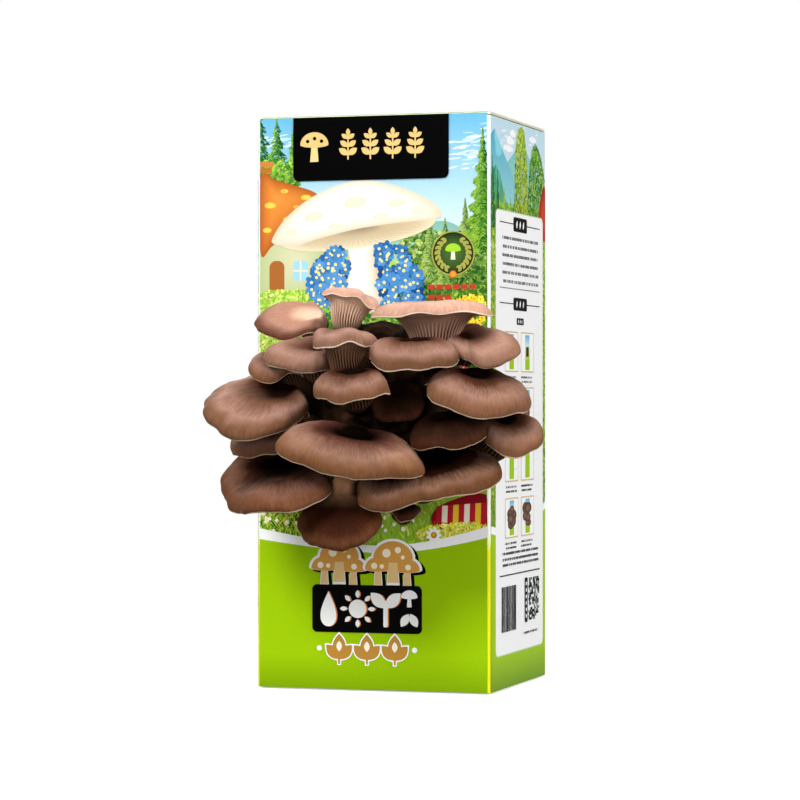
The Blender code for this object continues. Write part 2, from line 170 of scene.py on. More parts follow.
world = bpy.data.worlds.new("studio_air")
world.use_nodes = True
scene.world = world
air = world.node_tree.nodes["Background"]
air.inputs["Strength"].default_value = 0.3
height = add(world.node_tree, "SeparateXYZ", None, None,
             {0: add(world.node_tree, "TexCoord").outputs["Generated"]})
horizon = add(world.node_tree, "ValToRGB", None, None, {0: height.outputs["Z"]},
              ((0.0, (0.35, 0.35, 0.35, 1)), (0.12, (1, 1, 1, 1))))
world.node_tree.links.new(horizon.outputs[0], air.inputs["Color"])

# every lamp faces the upper middle of the clump
AIM = Vector((0.0, -0.03, 0.13))
for name, where, size, watts in (
        ("key_light", (-0.6, -1.75, 1.45), 0.8, 40.0),
        ("low_light", (0.25, -1.7, 0.12), 0.6, 8.0),
        ("fill_light", (1.9, -0.7, 0.8), 1.2, 34.0),
        ("back_light", (-1.2, 1.9, 1.2), 1.4, 26.0),
        ("top_light", (0.1, -0.4, 2.0), 1.0, 20.0)):
    lamp = bpy.data.lights.new(name, "AREA")
    lamp.shape = "DISK"
    lamp.size = size
    lamp.energy = watts
    lamp_object = bpy.data.objects.new(name, lamp)
    scene.collection.objects.link(lamp_object)
    lamp_object.location = where
    lamp_object.rotation_euler = (AIM - Vector(where)).to_track_quat("-Z", "Y").to_euler()

# a long lens 1.36 m off, level with the clump and 17 degrees round to the right
lens = bpy.data.cameras.new("front_camera")
lens.lens = 136.4
lens.sensor_width = 36.0
camera = bpy.data.objects.new("front_camera", lens)
scene.collection.objects.link(camera)
camera.location = (0.4052, -1.2999, 0.126)
camera.rotation_euler = (math.pi / 2, 0.0, math.radians(17.4))
scene.camera = camera


# ---- Carton ----------------------------------------------------------------
# A fluted card carton, brown kraft inside and inked green outside wherever the
# print leaves it bare, die cut, folded and glued along one edge.  The print is
# varnished, so it is satin with a very faint ripple of the flutes.
def box_mm(node):
    """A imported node's lowest and highest corners at rest, in mm to a hundredth."""
    return [np.round(np.array(corner) * 1000, 2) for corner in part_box(node)]


# half the carton's width and depth, and its top edge
FACE_X, FACE_Y, CARD_TOP = box_mm("carton_body")[1]
LINER = 0.8     # what lies this close to an outer face is inked


def kraft_board(name, roughness):
    """Fluted board: brown pulp with clots 1 mm wide, over flutes 3.6 mm apart that run up it."""
    made, tree, shader = new_finish(name, Roughness=roughness)
    place = add(tree, "TexCoord").outputs["Object"]
    pulp = add(tree, "TexNoise", None, {"Scale": 900.0, "Detail": 4.0}, {"Vector": place})
    kraft = add(tree, "ValToRGB", None, None, {0: pulp.outputs["Fac"]},
                ((0.3, rgba("#8e6a45")), (0.7, rgba("#b58d62"))))
    flute = add(tree, "TexWave", {"bands_direction": "X"}, {"Scale": 88.0, "Distortion": 0.0},
                {"Vector": place})
    ripple = add(tree, "Bump", None, {"Strength": 0.12, "Distance": 0.0002}, {"Height": flute.outputs["Fac"]})
    grit = add(tree, "Bump", None, {"Strength": 0.25, "Distance": 0.00005},
               {"Height": pulp.outputs["Fac"], "Normal": ripple.outputs[0]})
    tree.links.new(grit.outputs[0], shader.inputs["Normal"])
    return made, tree, shader, place, kraft


board, tree, shader, place, kraft = kraft_board("kraft_lined_card", 0.62)
split = add(tree, "SeparateXYZ", links={0: place})
outer_x, outer_y = (
    add(tree, "Math", {"operation": "GREATER_THAN"}, {1: (face - LINER) * 0.001},
        {0: add(tree, "Math", {"operation": "ABSOLUTE"}, links={0: split.outputs[axis]}).outputs[0]})
    for axis, face in (("X", FACE_X), ("Y", FACE_Y)))
outside = add(tree, "Math", {"operation": "MAXIMUM"}, links={0: outer_x.outputs[0], 1: outer_y.outputs[0]})
lined = add(tree, "Mix", {"data_type": "RGBA"}, {7: rgba("#8bb712")},
            {0: outside.outputs[0], 6: kraft.outputs[0]})
tree.links.new(lined.outputs[2], shader.inputs["Base Color"])
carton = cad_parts["carton_body"]
carton.data.materials.clear()
carton.data.materials.append(board)


# ---- Print on the carton ---------------------------------------------------
# Four-colour offset print under a satin varnish: a meadow and forest scene
# above a white wave, and plain green with gold and white ornaments below it.
# Every ink is a flat shape a few thousandths of a millimetre over the last.
class Print:
    """The inks of one panel; (u, v) are mm across and up as one faces it."""

    def __init__(self, to_panel, half, top):
        self.to_panel, self.half, self.top = to_panel, half, top
        self.foot, self.height = 0.2, 0.02
        self.points, self.colours, self.faces, self.count = [], [], {}, 0

    def lay(self, uv, faces, colour, band=0.0, step=0.002):
        """Lay faces (m, k) over points (n, 2); with a band, each face floats in it."""
        uv = np.clip(np.asarray(uv, float), (-self.half, self.foot), (self.half, self.top))
        x, y = uv[faces].transpose(2, 0, 1)
        area = np.abs((x * np.roll(y, -1, 1) - y * np.roll(x, -1, 1)).sum(1)) / 2
        faces = faces[area > 0.01]
        heights = np.full(len(uv), self.height)
        if band and len(faces):
            spread = np.random.default_rng(self.count + 1).random(len(faces)) * band
            heights[faces] += spread[:, None]
        self.height += step + band
        self.points.append(self.to_panel(uv[:, 0], uv[:, 1], heights))
        self.colours.append(np.broadcast_to(colour, (len(uv), 3)))
        self.faces.setdefault(faces.shape[1], []).append(faces + self.count)
        self.count += len(uv)

    def shape(self, outline, colour):
        """One filled outline, anticlockwise, of one colour or a colour per point."""
        self.lay(outline, np.arange(len(outline))[None], colour)

    def field(self, u0, u1, v0, v1, nu, nv, colour_at):
        """A grid of nu by nv cells coloured by a function of (u, v)."""
        u, v = np.meshgrid(np.linspace(u0, u1, nu + 1), np.linspace(v0, v1, nv + 1))
        i = (np.arange(nv)[:, None] * (nu + 1) + np.arange(nu)).ravel()
        quads = np.stack([i, i + 1, i + nu + 2, i + nu + 1], -1)
        self.lay(np.stack([u.ravel(), v.ravel()], -1), quads, colour_at(u.ravel(), v.ravel()))

    def band_between(self, u, low, high, colour_low, colour_high):
        """A ribbon between two curves low(u) and high(u)."""
        uv = np.concatenate([np.stack([u, low], -1), np.stack([u, high], -1)])
        i, n = np.arange(len(u) - 1), len(u)
        colours = np.concatenate([np.broadcast_to(colour_low, (n, 3)), np.broadcast_to(colour_high, (n, 3))])
        self.lay(uv, np.stack([i, i + 1, i + n + 1, i + n], -1), colours)

    def shaded(self, outline, heart, inner, outer, power=1.0, rings=7):
        """An outline filled with rings that blend from a heart's colour outwards."""
        outline, heart = np.asarray(outline, float), np.asarray(heart, float)
        t = np.linspace(0, 1, rings + 1)[1:]
        uv = (heart + (outline - heart) * t[:, None, None]).reshape(-1, 2)
        blend = np.repeat(t ** power, len(outline))[:, None]
        colours = inner * (1 - blend) + np.broadcast_to(outer, (len(outline), 3))[
            np.tile(np.arange(len(outline)), rings)] * blend
        n = len(outline)
        self.lay(np.vstack([uv, heart]), ring_faces(rings, n), np.vstack([colours, inner]), step=0.0)
        self.lay(np.vstack([uv[:n], heart]), fan(n, np.arange(n)), np.vstack([colours[:n], inner]))

    def dabs(self, centres, lengths, widths, angles, colours, sides=6):
        """Many small leaf-shaped strokes: a stretched polygon at each centre."""
        a = np.linspace(0, 2 * np.pi, sides, endpoint=False)
        along = np.cos(a)[None] * np.asarray(lengths)[:, None] / 2
        across = np.sin(a)[None] * np.asarray(widths)[:, None] / 2
        c, s = np.cos(angles)[:, None], np.sin(angles)[:, None]
        uv = np.stack([centres[:, 0:1] + along * c - across * s,
                       centres[:, 1:2] + along * s + across * c], -1).reshape(-1, 2)
        faces = np.arange(len(uv)).reshape(-1, sides)
        self.lay(uv, faces, np.repeat(colours, sides, axis=0), band=0.006)

    def finish(self, name, material):
        """The whole panel's print as one piece with an ink colour per point."""
        faces = [np.concatenate(group) for group in self.faces.values()]
        return piece_from(name, np.vstack(self.points), faces, material, smooth=False,
                          ink=np.vstack(self.colours))


def disc(u, v, ru, rv=None, sides=40, turn=0.0):
    """Outline of an ellipse about (u, v)."""
    a = np.linspace(0, 2 * np.pi, sides, endpoint=False)
    x, y = ru * np.cos(a), (rv or ru) * np.sin(a)
    return np.stack([u + x * math.cos(turn) - y * math.sin(turn),
                     v + x * math.sin(turn) + y * math.cos(turn)], -1)


def panel(u0, u1, v0, v1, radius, steps=8):
    """Outline of a rectangle with rounded corners, anticlockwise."""
    a = np.linspace(0, np.pi / 2, steps + 1)
    corners = ((u1, v1, 1, 1, 0), (u0, v1, -1, 1, 1), (u0, v0, -1, -1, 2), (u1, v0, 1, -1, 3))
    return np.concatenate([np.stack([u - su * radius + radius * np.cos(a + q * np.pi / 2),
                                     v - sv * radius + radius * np.sin(a + q * np.pi / 2)], -1)
                           for u, v, su, sv, q in corners])


def curve(points, steps=8):
    """A smooth closed outline through its points (Catmull-Rom)."""
    p = np.asarray(points, float)
    a, b, c, d = np.roll(p, 1, 0), p, np.roll(p, -1, 0), np.roll(p, -2, 0)
    t = np.linspace(0, 1, steps, endpoint=False)[None, :, None]
    a, b, c, d = (q[:, None] for q in (a, b, c, d))
    return (0.5 * (2 * b + (c - a) * t + (2 * a - 5 * b + 4 * c - d) * t ** 2
                   + (3 * b - a - 3 * c + d) * t ** 3)).reshape(-1, 2)


def shades(draw, count, *codes, jitter=0.06):
    """Random mixes along a list of colours, with a little brightness jitter."""
    palette = np.array([linear(code) for code in codes])
    t = draw.random(count) * (len(palette) - 1)
    i = np.minimum(t.astype(int), len(palette) - 2)
    mixed = palette[i] + (palette[i + 1] - palette[i]) * (t - i)[:, None]
    return mixed * (1 + jitter * draw.standard_normal(count))[:, None].clip(0.6, 1.5)


def conifer(page, draw, u, foot, tip, half, dark, mid, light, count):
    """A fir: drooping strokes, longer lower down, lit from the upper left."""
    count = int(count * 2.6)
    t = draw.random(count) ** 0.62
    side = draw.uniform(-1, 1, count)
    tier = 0.75 + 0.25 * np.cos(t * (tip - foot) / 5.5 * 2 * np.pi)
    centres = np.stack([u + side * half * t * tier, tip - t * (tip - foot) - 1.6 * np.abs(side) * t], -1)
    lit = (0.5 - 0.42 * side + 0.3 * draw.standard_normal(count)).clip(0, 1)[:, None]
    low, middle, high = linear(dark), linear(mid), linear(light)
    colours = np.where(lit < 0.5, low + (middle - low) * lit * 2, middle + (high - middle) * (lit * 2 - 1))
    lengths = 0.9 + half * 0.2 * t
    angles = np.where(side > 0, -0.65, np.pi + 0.65) + draw.normal(0, 0.25, count)
    order = np.argsort(lit[:, 0] + 0.2 * draw.random(count))
    page.dabs(centres[order], lengths[order], 0.25 + lengths[order] * 0.16, angles[order], colours[order])


def foliage(page, draw, outline, size, count, *codes, shade_up=0.35):
    """Leaf dabs scattered in an outline, darker low down and lighter on top."""
    outline = np.asarray(outline, float)
    size, count = size * 0.68, int(count * 2.1)
    low, high = outline.min(0), outline.max(0)
    spots = low + draw.random((count * 3, 2)) * (high - low)
    x, y = spots[:, 0:1], spots[:, 1:2]
    x0, y0 = outline.T
    x1, y1 = np.roll(outline, -1, 0).T
    cross = ((y0 > y) != (y1 > y)) & (x < (x1 - x0) * (y - y0) / (y1 - y0 + 1e-9) + x0)
    spots = spots[cross.sum(1) % 2 == 1][:count]
    n = len(spots)
    lightness = 1 + shade_up * ((spots[:, 1] - low[1]) / (high[1] - low[1]) - 0.5)
    colours = shades(draw, n, *codes, jitter=0.12) * lightness[:, None]
    lengths = size * draw.uniform(0.6, 1.4, n)
    page.dabs(spots, lengths, lengths * draw.uniform(0.4, 0.75, n), draw.uniform(0, np.pi, n), colours)


def blossoms(page, draw, spots, radius, petals, heart, *codes):
    """Small flowers: round petals about each spot and a dot in the middle."""
    n = len(spots)
    a = np.arange(petals) * 2 * np.pi / petals
    start = draw.random(n)[:, None] * 2 * np.pi
    r = radius * draw.uniform(0.75, 1.2, n)[:, None]
    centres = np.stack([spots[:, 0:1] + 0.55 * r * np.cos(a + start),
                        spots[:, 1:2] + 0.55 * r * np.sin(a + start)], -1).reshape(-1, 2)
    size = np.repeat(r[:, 0], petals) * 1.05
    colours = np.repeat(shades(draw, n, *codes), petals, axis=0)
    colours = colours * draw.uniform(0.85, 1.15, len(colours))[:, None]
    page.dabs(centres, size, size * 0.8, (a + start).ravel(), colours, sides=8)
    page.dabs(spots, r[:, 0] * 0.5, r[:, 0] * 0.5, np.zeros(n), np.tile(linear(heart), (n, 1)), sides=8)


def cloud(page, draw, u, v, wide, tall, count=16):
    """A fair-weather cloud: grey-blue discs below, white discs above."""
    for code, drop in (("#cfe6f2", -0.18), ("#ffffff", 0.0)):
        t = draw.uniform(-1, 1, count)
        r = tall * (0.62 - 0.34 * np.abs(t)) * draw.uniform(0.8, 1.1, count)
        spots = np.stack([u + t * wide / 2, v + drop * tall + r * 0.25], -1)
        page.dabs(spots, 2 * r, 2 * r * 0.85, np.zeros(count), np.tile(linear(code), (count, 1)), sides=24)


def wisps(page, draw, u, v, wide, tall, count):
    """Thin high cloud: pale streaks that lean a little."""
    t = draw.normal(0, 0.28, (count, 2)).clip(-0.5, 0.5)
    spots = np.stack([u + t[:, 0] * wide, v + t[:, 1] * tall + 0.12 * t[:, 0] * wide], -1)
    page.dabs(spots, draw.uniform(2, 9, count), draw.uniform(0.3, 1.1, count),
              0.15 + draw.normal(0, 0.12, count),
              shades(draw, count, "#a9d8ef", "#d9eef8", "#f6fcff", jitter=0.01), sides=10)


def little_mushroom(page, u, v, size, cap, stem):
    """A plain mushroom sign: a half-round cap on a tapering stem."""
    a = np.linspace(0, np.pi, 20)
    dome = np.stack([u + size * 0.5 * np.cos(a), v + size * 0.08 + size * 0.42 * np.sin(a)], -1)
    lip = np.stack([u - size * 0.5 * np.cos(a), v + size * 0.08 - size * 0.1 * np.sin(a)], -1)[1:-1]
    stalk = np.array([(0.11, -0.02), (-0.11, -0.02), (-0.15, -0.5), (0.15, -0.5)]) * size + (u, v)
    page.shape(stalk[::-1], stem)
    page.shape(np.vstack([dome, lip]), cap)


def leaf_sign(page, u, v, length, angle, colour):
    """A pointed leaf: two arcs between its stalk and its tip."""
    t = np.linspace(-1, 1, 14)
    side = 0.28 * length * (1 - t ** 2)
    along = t * length / 2
    pts = np.concatenate([np.stack([along, -side], -1), np.stack([along[::-1], side[::-1]], -1)[1:-1]])
    c, s = math.cos(angle), math.sin(angle)
    page.shape(np.stack([u + pts[:, 0] * c - pts[:, 1] * s, v + pts[:, 0] * s + pts[:, 1] * c], -1), colour)


GREEN_BASE = linear("#9dc808")


def wave_low(u, half):
    """Lower edge of the white wave: high at the folds, lowest right of the middle."""
    t = (u / half - 0.1) / 0.9
    return 59.5 + np.where(t > 0, 7.4 * np.abs(t) ** 1.6, 4.0 * np.abs(t) ** 1.5)


def sky_colour(u, v):
    """Blue at the top of the panel, hazy towards the tree line, then meadow."""
    stops = np.array([60.0, 95.0, 150.0, 172.0, 190.0, 205.0, 225.0, 250.0])
    tones = np.array([linear(c) for c in ("#8fbb2a", "#a3c63e", "#c0d562", "#cfdf88",
                                          "#dbeadb", "#c6e1ec", "#9ccde5", "#66b3d8")])
    return np.stack([np.interp(v, stops, tones[:, i]) for i in range(3)], -1)


def landscape(page, draw, pale=0.0):
    """What runs round all four walls: sky (paler by a share), meadow and grasses."""
    half = page.half
    white = linear("#eef8fb")

    def scene_colour(u, v):
        share = pale * np.clip((v - 190) / 20, 0, 1)[:, None]
        return sky_colour(u, v) * (1 - share) + white * share

    page.field(-half, half, 60.0, page.top, 8, 60, scene_colour)
    n = 3400
    spots = np.stack([draw.uniform(-half, half, n), 62 + 100 * draw.random(n) ** 1.1], -1)
    blades = shades(draw, n, "#6f9f22", "#9cc738", "#d5e667", "#5c8c1e", "#b9d84a", jitter=0.1)
    page.dabs(spots, draw.uniform(2, 5, n), draw.uniform(0.35, 0.8, n),
              np.pi / 2 + draw.normal(0, 0.5, n), blades)


def ridges(page, half):
    """Three mountain ridges, each hazier at the foot, with lit right-hand slopes."""
    u = np.linspace(-half, half, 90)
    for line, foot, low, high, lit in (
            (((-52, 222), (-22, 229), (-8, 235), (4, 242), (14, 237), (30, 226), (52, 216)),
             200, "#bfe6dc", "#6fc0b8", "#a5dcd2"),
            (((-52, 237), (-40, 243.4), (-29, 236), (-12, 226), (4, 217), (22, 212), (52, 205)),
             196, "#b0e2e4", "#4fb0c6", "#8ad6e6"),
            (((-52, 219), (-38, 228), (-31, 224), (-22, 213), (-8, 208), (10, 206), (52, 203)),
             194, "#79c48c", "#2f8f76", "#5fb495")):
        line = np.array(line, float)
        top = np.interp(u, line[:, 0], line[:, 1])
        climb = ((top - foot) / (line[:, 1].max() - foot))[:, None]
        page.band_between(u, np.full(90, float(foot)), top, linear(low),
                          linear(low) * (1 - climb) + linear(high) * climb)
        k = int(line[:, 1].argmax())
        peak, right = line[k], line[k + 1]
        page.shape(np.array([peak, peak + (-0.8, -4.0), peak + (1.2, -6.5), peak + (2.0, -11.0),
                             peak + (6.0, -12.0), right + (1.0, -3.0), right]), linear(lit))


def wave_and_base(page, low, crest, shade):
    """The white wave from low up to low + crest, and plain green below, shaded at the foot."""
    n = len(low)
    u = np.linspace(-page.half, page.half, n)
    page.band_between(u, np.zeros(n), low + 0.5, GREEN_BASE, GREEN_BASE)
    page.band_between(u, np.zeros(n), np.full(n, 15.0), linear(shade), GREEN_BASE)
    page.band_between(u, low, low + crest, linear("#ffffff"), linear("#ffffff"))


def wide_wave(page):
    """The wave of a wide wall: thin in the middle and thicker towards the folds."""
    u = np.linspace(-page.half, page.half, 60)
    wave_and_base(page, wave_low(u, page.half), 3.2 + 1.6 * (np.abs(u) / page.half) ** 2, "#7da408")


# ---- Front panel -----------------------------------------------------------
# The picture side: blue sky, firs and a forest edge, a cottage roof, a large
# cream mushroom among blue flowers, shrubs and a striped awning; below the
# white wave the green base carries gold and white signs of growing things.
offset_print, tree, shader = new_finish("varnished_offset_print", Roughness=0.45, Specular_IOR_Level=0.02)
ink = add(tree, "Attribute", {"attribute_name": "ink"})
place = add(tree, "TexCoord").outputs["Object"]
# press grain: ink density wanders by a few per cent over 0.5 mm, on a faint
# ripple 5 mm apart where the flutes show through the varnish
grain = add(tree, "TexNoise", None, {"Scale": 1800.0, "Detail": 2.0}, {"Vector": place})
level = add(tree, "MapRange", None, {"To Min": 0.93, "To Max": 1.05}, {"Value": grain.outputs["Fac"]})
inked = add(tree, "VectorMath", {"operation": "SCALE"}, None,
            {0: ink.outputs["Vector"], "Scale": level.outputs[0]})
flute = add(tree, "TexWave", {"bands_direction": "DIAGONAL"}, {"Scale": 60.0, "Distortion": 0.4},
            {"Vector": place})
ripple = add(tree, "Bump", None, {"Strength": 0.05, "Distance": 0.0002}, {"Height": flute.outputs["Fac"]})
tooth = add(tree, "Bump", None, {"Strength": 0.12, "Distance": 0.00005},
            {"Height": grain.outputs["Fac"], "Normal": ripple.outputs[0]})
tree.links.new(inked.outputs[0], shader.inputs["Base Color"])
tree.links.new(tooth.outputs[0], shader.inputs["Normal"])

GOLD, WHITE, BLACK = linear("#dba04c"), linear("#fbfbf8"), linear("#010101")
# the inks stop short of the folds and of the walls' top edges
HALF_X, HALF_Y = FACE_X - 1.1, FACE_Y - 1.1
FRONT_TOP, WALL_TOP = CARD_TOP - 0.2, CARD_TOP - 1.2
front = Print(lambda u, v, h: np.stack([u, -FACE_Y - h, v], -1), HALF_X, FRONT_TOP)
draw = np.random.default_rng(3)
landscape(front, draw)

# far hills and the sunlit meadow's edge
u = np.linspace(-HALF_X, HALF_X, 50)
front.band_between(u, np.full(50, 178.0), 199 + 4 * np.sin(u / 13) + 2 * np.sin(u / 5 + 1),
                   linear("#b9dba0"), linear("#7fb5a8"))
front.band_between(u, np.full(50, 160.0), 186 + 3 * np.sin(u / 9 + 2), linear("#cfe87a"), linear("#a9cf56"))
wisps(front, draw, 44, 234, 26, 20, 60)
wisps(front, draw, -43, 240, 22, 8, 20)

# spruces and leaves at the upper left, planks below them
for at, foot, tip, half in ((-52, 222, 256, 9), (-44, 224, 250, 7), (-36, 226, 247, 5)):
    conifer(front, draw, at, foot, tip, half, "#16401f", "#2f7a33", "#8fc04a", 260)
foliage(front, draw, panel(-HALF_X, -33, 219, 231, 3), 2.6, 260, "#2c6a2a", "#5a9a30", "#a9cc4c")
for end, v, code in ((-45.5, 229.5, "#c9803a"), (-46.3, 226.8, "#b46d2c"), (-47.1, 224.1, "#a05d24")):
    front.shape(panel(-HALF_X, end, v - 1.1, v + 1.1, 0.5), linear(code))

# cottage with an orange roof and cream walls
front.shaded(curve([(-51.6, 172), (-25, 172), (-24, 200), (-51.6, 204)]), (-34, 186),
             linear("#d6d4b0"), linear("#b2c184"))
front.shape(panel(-47.5, -40.5, 172, 187, 3), linear("#a8662f"))
front.shape(panel(-36.5, -29.5, 178, 187, 2), linear("#9fd0e6"))
front.shape(panel(-33.3, -32.7, 178, 187, 0.2), linear("#e9e0c0"))
front.shape(panel(-36.5, -29.5, 182.2, 182.8, 0.2), linear("#e9e0c0"))
roof = np.array([(-51.6, 190.5), (-46.5, 193.2), (-40, 198.5), (-34, 203.5), (-26, 209.3), (-23.0, 213.2),
                 (-27, 217), (-36, 220), (-44, 222.3), (-51.6, 223.2)])
front.shaded(curve(roof), (-44, 214), linear("#e8913e"), linear("#b05a20"), 1.4)
for at in ((-47.0, 211.4, 2.7, 1.4), (-30.5, 214.6, 2.4, 1.2), (-39, 205, 2.1, 1.3), (-40.5, 217.5, 1.8, 0.9),
           (-48.5, 200.5, 2.0, 1.2), (-35, 210.5, 1.3, 0.7)):
    front.shaded(disc(*at), at[:2], linear("#ffe46a"), linear("#f2b53a"))
foliage(front, draw, panel(-HALF_X, -27, 161, 174, 4), 2.4, 420, "#6fa52a", "#a5cb45", "#e0ee84")

# forest on the right, then the tall sunlit fir in front of it
foliage(front, draw, curve([(12, 160), (51.9, 160), (51.9, 206), (45, 204), (39, 199), (33, 197), (24, 201),
                            (15, 202)]), 3.4, 1500, "#28541f", "#557f35", "#86a549", "#bccb74", shade_up=0.6)
foliage(front, draw, curve([(14, 160), (51.9, 160), (51.9, 184), (42, 187), (30, 184), (16, 184)]),
        2.8, 800, "#1a3f14", "#3c6a24", "#73923a", shade_up=0.6)
for at, foot, tip, half in ((26, 178, 207, 6), (33, 176, 205, 6), (42, 184, 213, 6)):
    conifer(front, draw, at, foot, tip, half, "#2c5a24", "#6b9440", "#a9be62", 300)
conifer(front, draw, 49.8, 190, 243, 10.0, "#1a4c16", "#4a8a2a", "#8fb83c", 900)

# the cream mushroom: stem, gilled underside, then the broad cap
front.shaded(curve([(-13, 161), (6, 161), (3.5, 176), (2, 192), (3, 201), (-13, 201), (-11, 190),
                    (-12, 176)]), (-8, 182), linear("#fffdf4"), linear("#cdbb9a"), 1.6)
tilt = math.radians(7)
gills_u, gills_v = -7, 199.5
front.shaded(disc(gills_u, gills_v, 36, 7.5, 60, tilt), (-5, 201), linear("#8f7a5c"), linear("#e8d9b8"), 0.8)
# each gill is a stroke centred 0.62 of the way out to the rim of the underside
spokes = 64
a = np.linspace(0, 2 * np.pi, spokes, endpoint=False)
rim_x, rim_y = 35.2 * np.cos(a), 7.1 * np.sin(a)
front.dabs(disc(gills_u, gills_v, 35.2 * 0.62, 7.1 * 0.62, spokes, tilt), np.hypot(rim_x, rim_y) * 0.72,
           np.full(spokes, 0.35), np.arctan2(rim_y, rim_x) + tilt, np.tile(linear("#c9b48d"), (spokes, 1)))
cap_line = np.array([(-45.5, 194.5), (-45.2, 198.5), (-39, 206.5), (-28, 214.5), (-14, 220.4), (0, 221.3),
                     (13, 218.2), (24, 213.5), (30.5, 208.6), (30.5, 204.6), (22, 203.6), (8, 202.4),
                     (-8, 200.2), (-24, 196.6), (-36, 193.4)])
front.shaded(curve(cap_line), (-12, 213), linear("#fffefa"), linear("#ddd0b4"), 2.2, rings=10)
for at in ((-27, 206, 4.2, 2.0), (-8, 212, 5.0, 2.2), (11, 211.5, 3.8, 1.7), (-17, 201.8, 3.0, 1.2),
           (4, 205.8, 3.4, 1.2), (20, 207.5, 2.4, 1.1), (-37, 199.5, 2.4, 1.3)):
    front.shaded(disc(*at, turn=tilt), at[:2], linear("#f3ead2"), linear("#e6d8b8"))

# blue flowers round its foot
for count, low, high in ((150, "#1c4682", "#2c6cab"), (190, "#2c6cab", "#5a9ad2")):
    side = draw.uniform(-1, 1, count)
    spots = np.stack([-2.5 + side * 25 + 3 * np.sign(side), 162 + 33 * draw.random(count)], -1)
    bunched = ((spots[:, 0] + 2.5) / 26) ** 2 + ((spots[:, 1] - 176) / 19) ** 2 < 1
    beside_stem = np.abs(spots[:, 0] + 4.5) > 7.5
    blossoms(front, draw, spots[bunched & beside_stem], 2.6, 5, "#f4e28a", low, high)
foliage(front, draw, curve([(-27, 158), (24, 158), (22, 166), (8, 163), (-10, 165), (-26, 166)]), 3.0, 260,
        "#2c6a2a", "#5a9a30", "#a9cc4c")

# round badge: dark green, olive rim and sprigs, a small orange stud
OLIVE = linear("#a3a04c")
badge_u, badge_v = 36.6, 189.2
front.shape(disc(badge_u, badge_v, 9.7, sides=64), OLIVE)
front.shaded(disc(badge_u, badge_v, 9.1, sides=64), (badge_u, 190), linear("#486a30"), linear("#17260f"), 1.5)
for side in (-1, 1):
    for a in np.linspace(-1.15, 0.95, 8):
        for tuck, lean_out in ((7.6, 0.55), (6.4, -0.35)):
            leaf_sign(front, badge_u + side * tuck * math.cos(a), badge_v + tuck * math.sin(a), 2.5,
                      math.pi / 2 + side * (a + lean_out), OLIVE)
little_mushroom(front, badge_u, 190.0, 7.0, linear("#9fd032"), linear("#e9f2c8"))
front.shaded(disc(badge_u, 180.2, 1.6, sides=24), (badge_u, 180.2), linear("#ffb347"), linear("#e0661a"))

# flowering shrubs at the right and lower down, grasses at the left
foliage(front, draw, curve([(30, 140), (51.9, 138), (51.9, 172), (42, 175), (31, 168)]), 2.8, 700,
        "#24501a", "#4f7f26", "#8fae36")
spots = np.stack([draw.uniform(36, 51, 60), draw.uniform(146, 171, 60)], -1)
blossoms(front, draw, spots, 1.5, 5, "#e08a1c", "#ffe948", "#f6c92a")
# two short rows of plain red bars under the badge
for row, bars in ((174.8, 6), (170.4, 3)):
    for k in range(bars):
        front.shape(panel(25.4 + 3.7 * k, 28.3 + 3.7 * k, row - 1.0, row + 1.0, 0.3), linear("#b93a2c"))
spots = np.stack([draw.uniform(30, 51, 36), draw.uniform(120, 146, 36)], -1)
blossoms(front, draw, spots, 1.7, 6, "#ffe98a", "#c22746", "#e85a7a")
foliage(front, draw, curve([(-51.9, 100), (-34, 100), (-31, 130), (-36, 158), (-51.9, 160)]), 2.8, 800,
        "#659a28", "#a4c248", "#dfe084")
foliage(front, draw, curve([(-30, 92), (40, 92), (44, 108), (0, 112), (-34, 108)]), 2.8, 600,
        "#4d8a22", "#8dbb36", "#cfe060")

# striped awning at the lower right, crimson, cream and yellow
awning = ((28.5, 71.5), (51.6, 68.8), (51.6, 85.5), (31, 80.5))
front.shape(curve(awning, 5), linear("#8e1420"))
STRIPES = 9
for k in range(STRIPES):
    t = np.array([k, k + 1]) / STRIPES
    low = np.stack([29 + 22.4 * t, 73.2 - 2.2 * t], -1)
    high = low + np.stack([np.full(2, 0.3), 7 + 4 * t], -1)
    front.shape(np.vstack([low, high[::-1]]), linear(("#b81f2c", "#f6ead0", "#b81f2c", "#f2c430")[k % 4]))
t = np.linspace(0, 1, 14)
front.band_between(27.8 + 24.0 * t, 71.2 - 2.0 * t - 0.8 * np.cos(np.arange(14) * 1.9), 73.6 - 2.2 * t,
                   linear("#7c0f1c"), linear("#c22a34"))
foliage(front, draw, curve([(22, 66), (51.9, 66), (51.9, 72.5), (38, 73), (24, 71)]), 2.0, 320,
        "#a9c22a", "#e4de3c", "#f7f08a")
count = 520
spots = np.stack([draw.uniform(-51.5, -20, count), draw.uniform(64, 92, count)], -1)
tone = draw.random((count, 1))
blades = np.where(tone < 0.7, linear("#569c1e"), linear("#d6d84a"))
blades = np.where(tone < 0.4, linear("#1f5212"), blades)
front.dabs(spots, draw.uniform(2.0, 4.4, count), np.full(count, 0.6), draw.uniform(0.7, 2.5, count), blades)
for low, high, n in ((-51, -24, 22), (-14, 20, 30)):
    spots = np.stack([draw.uniform(low, high, n), draw.uniform(68, 84, n)], -1)
    blossoms(front, draw, spots, 0.9, 5, "#f4d23a", "#ffffff", "#fff4b0")

wide_wave(front)
a = np.arange(9) * 2 * np.pi / 9
front.dabs(np.stack([28 + 2.1 * np.cos(a), 67.7 + 2.1 * np.sin(a)], -1), np.full(9, 3.0), np.full(9, 1.5), a,
           np.tile(WHITE, (9, 1)), sides=14)
front.shaded(disc(28, 67.7, 1.35, sides=24), (28, 67.9), linear("#f2c22c"), linear("#a8641c"))

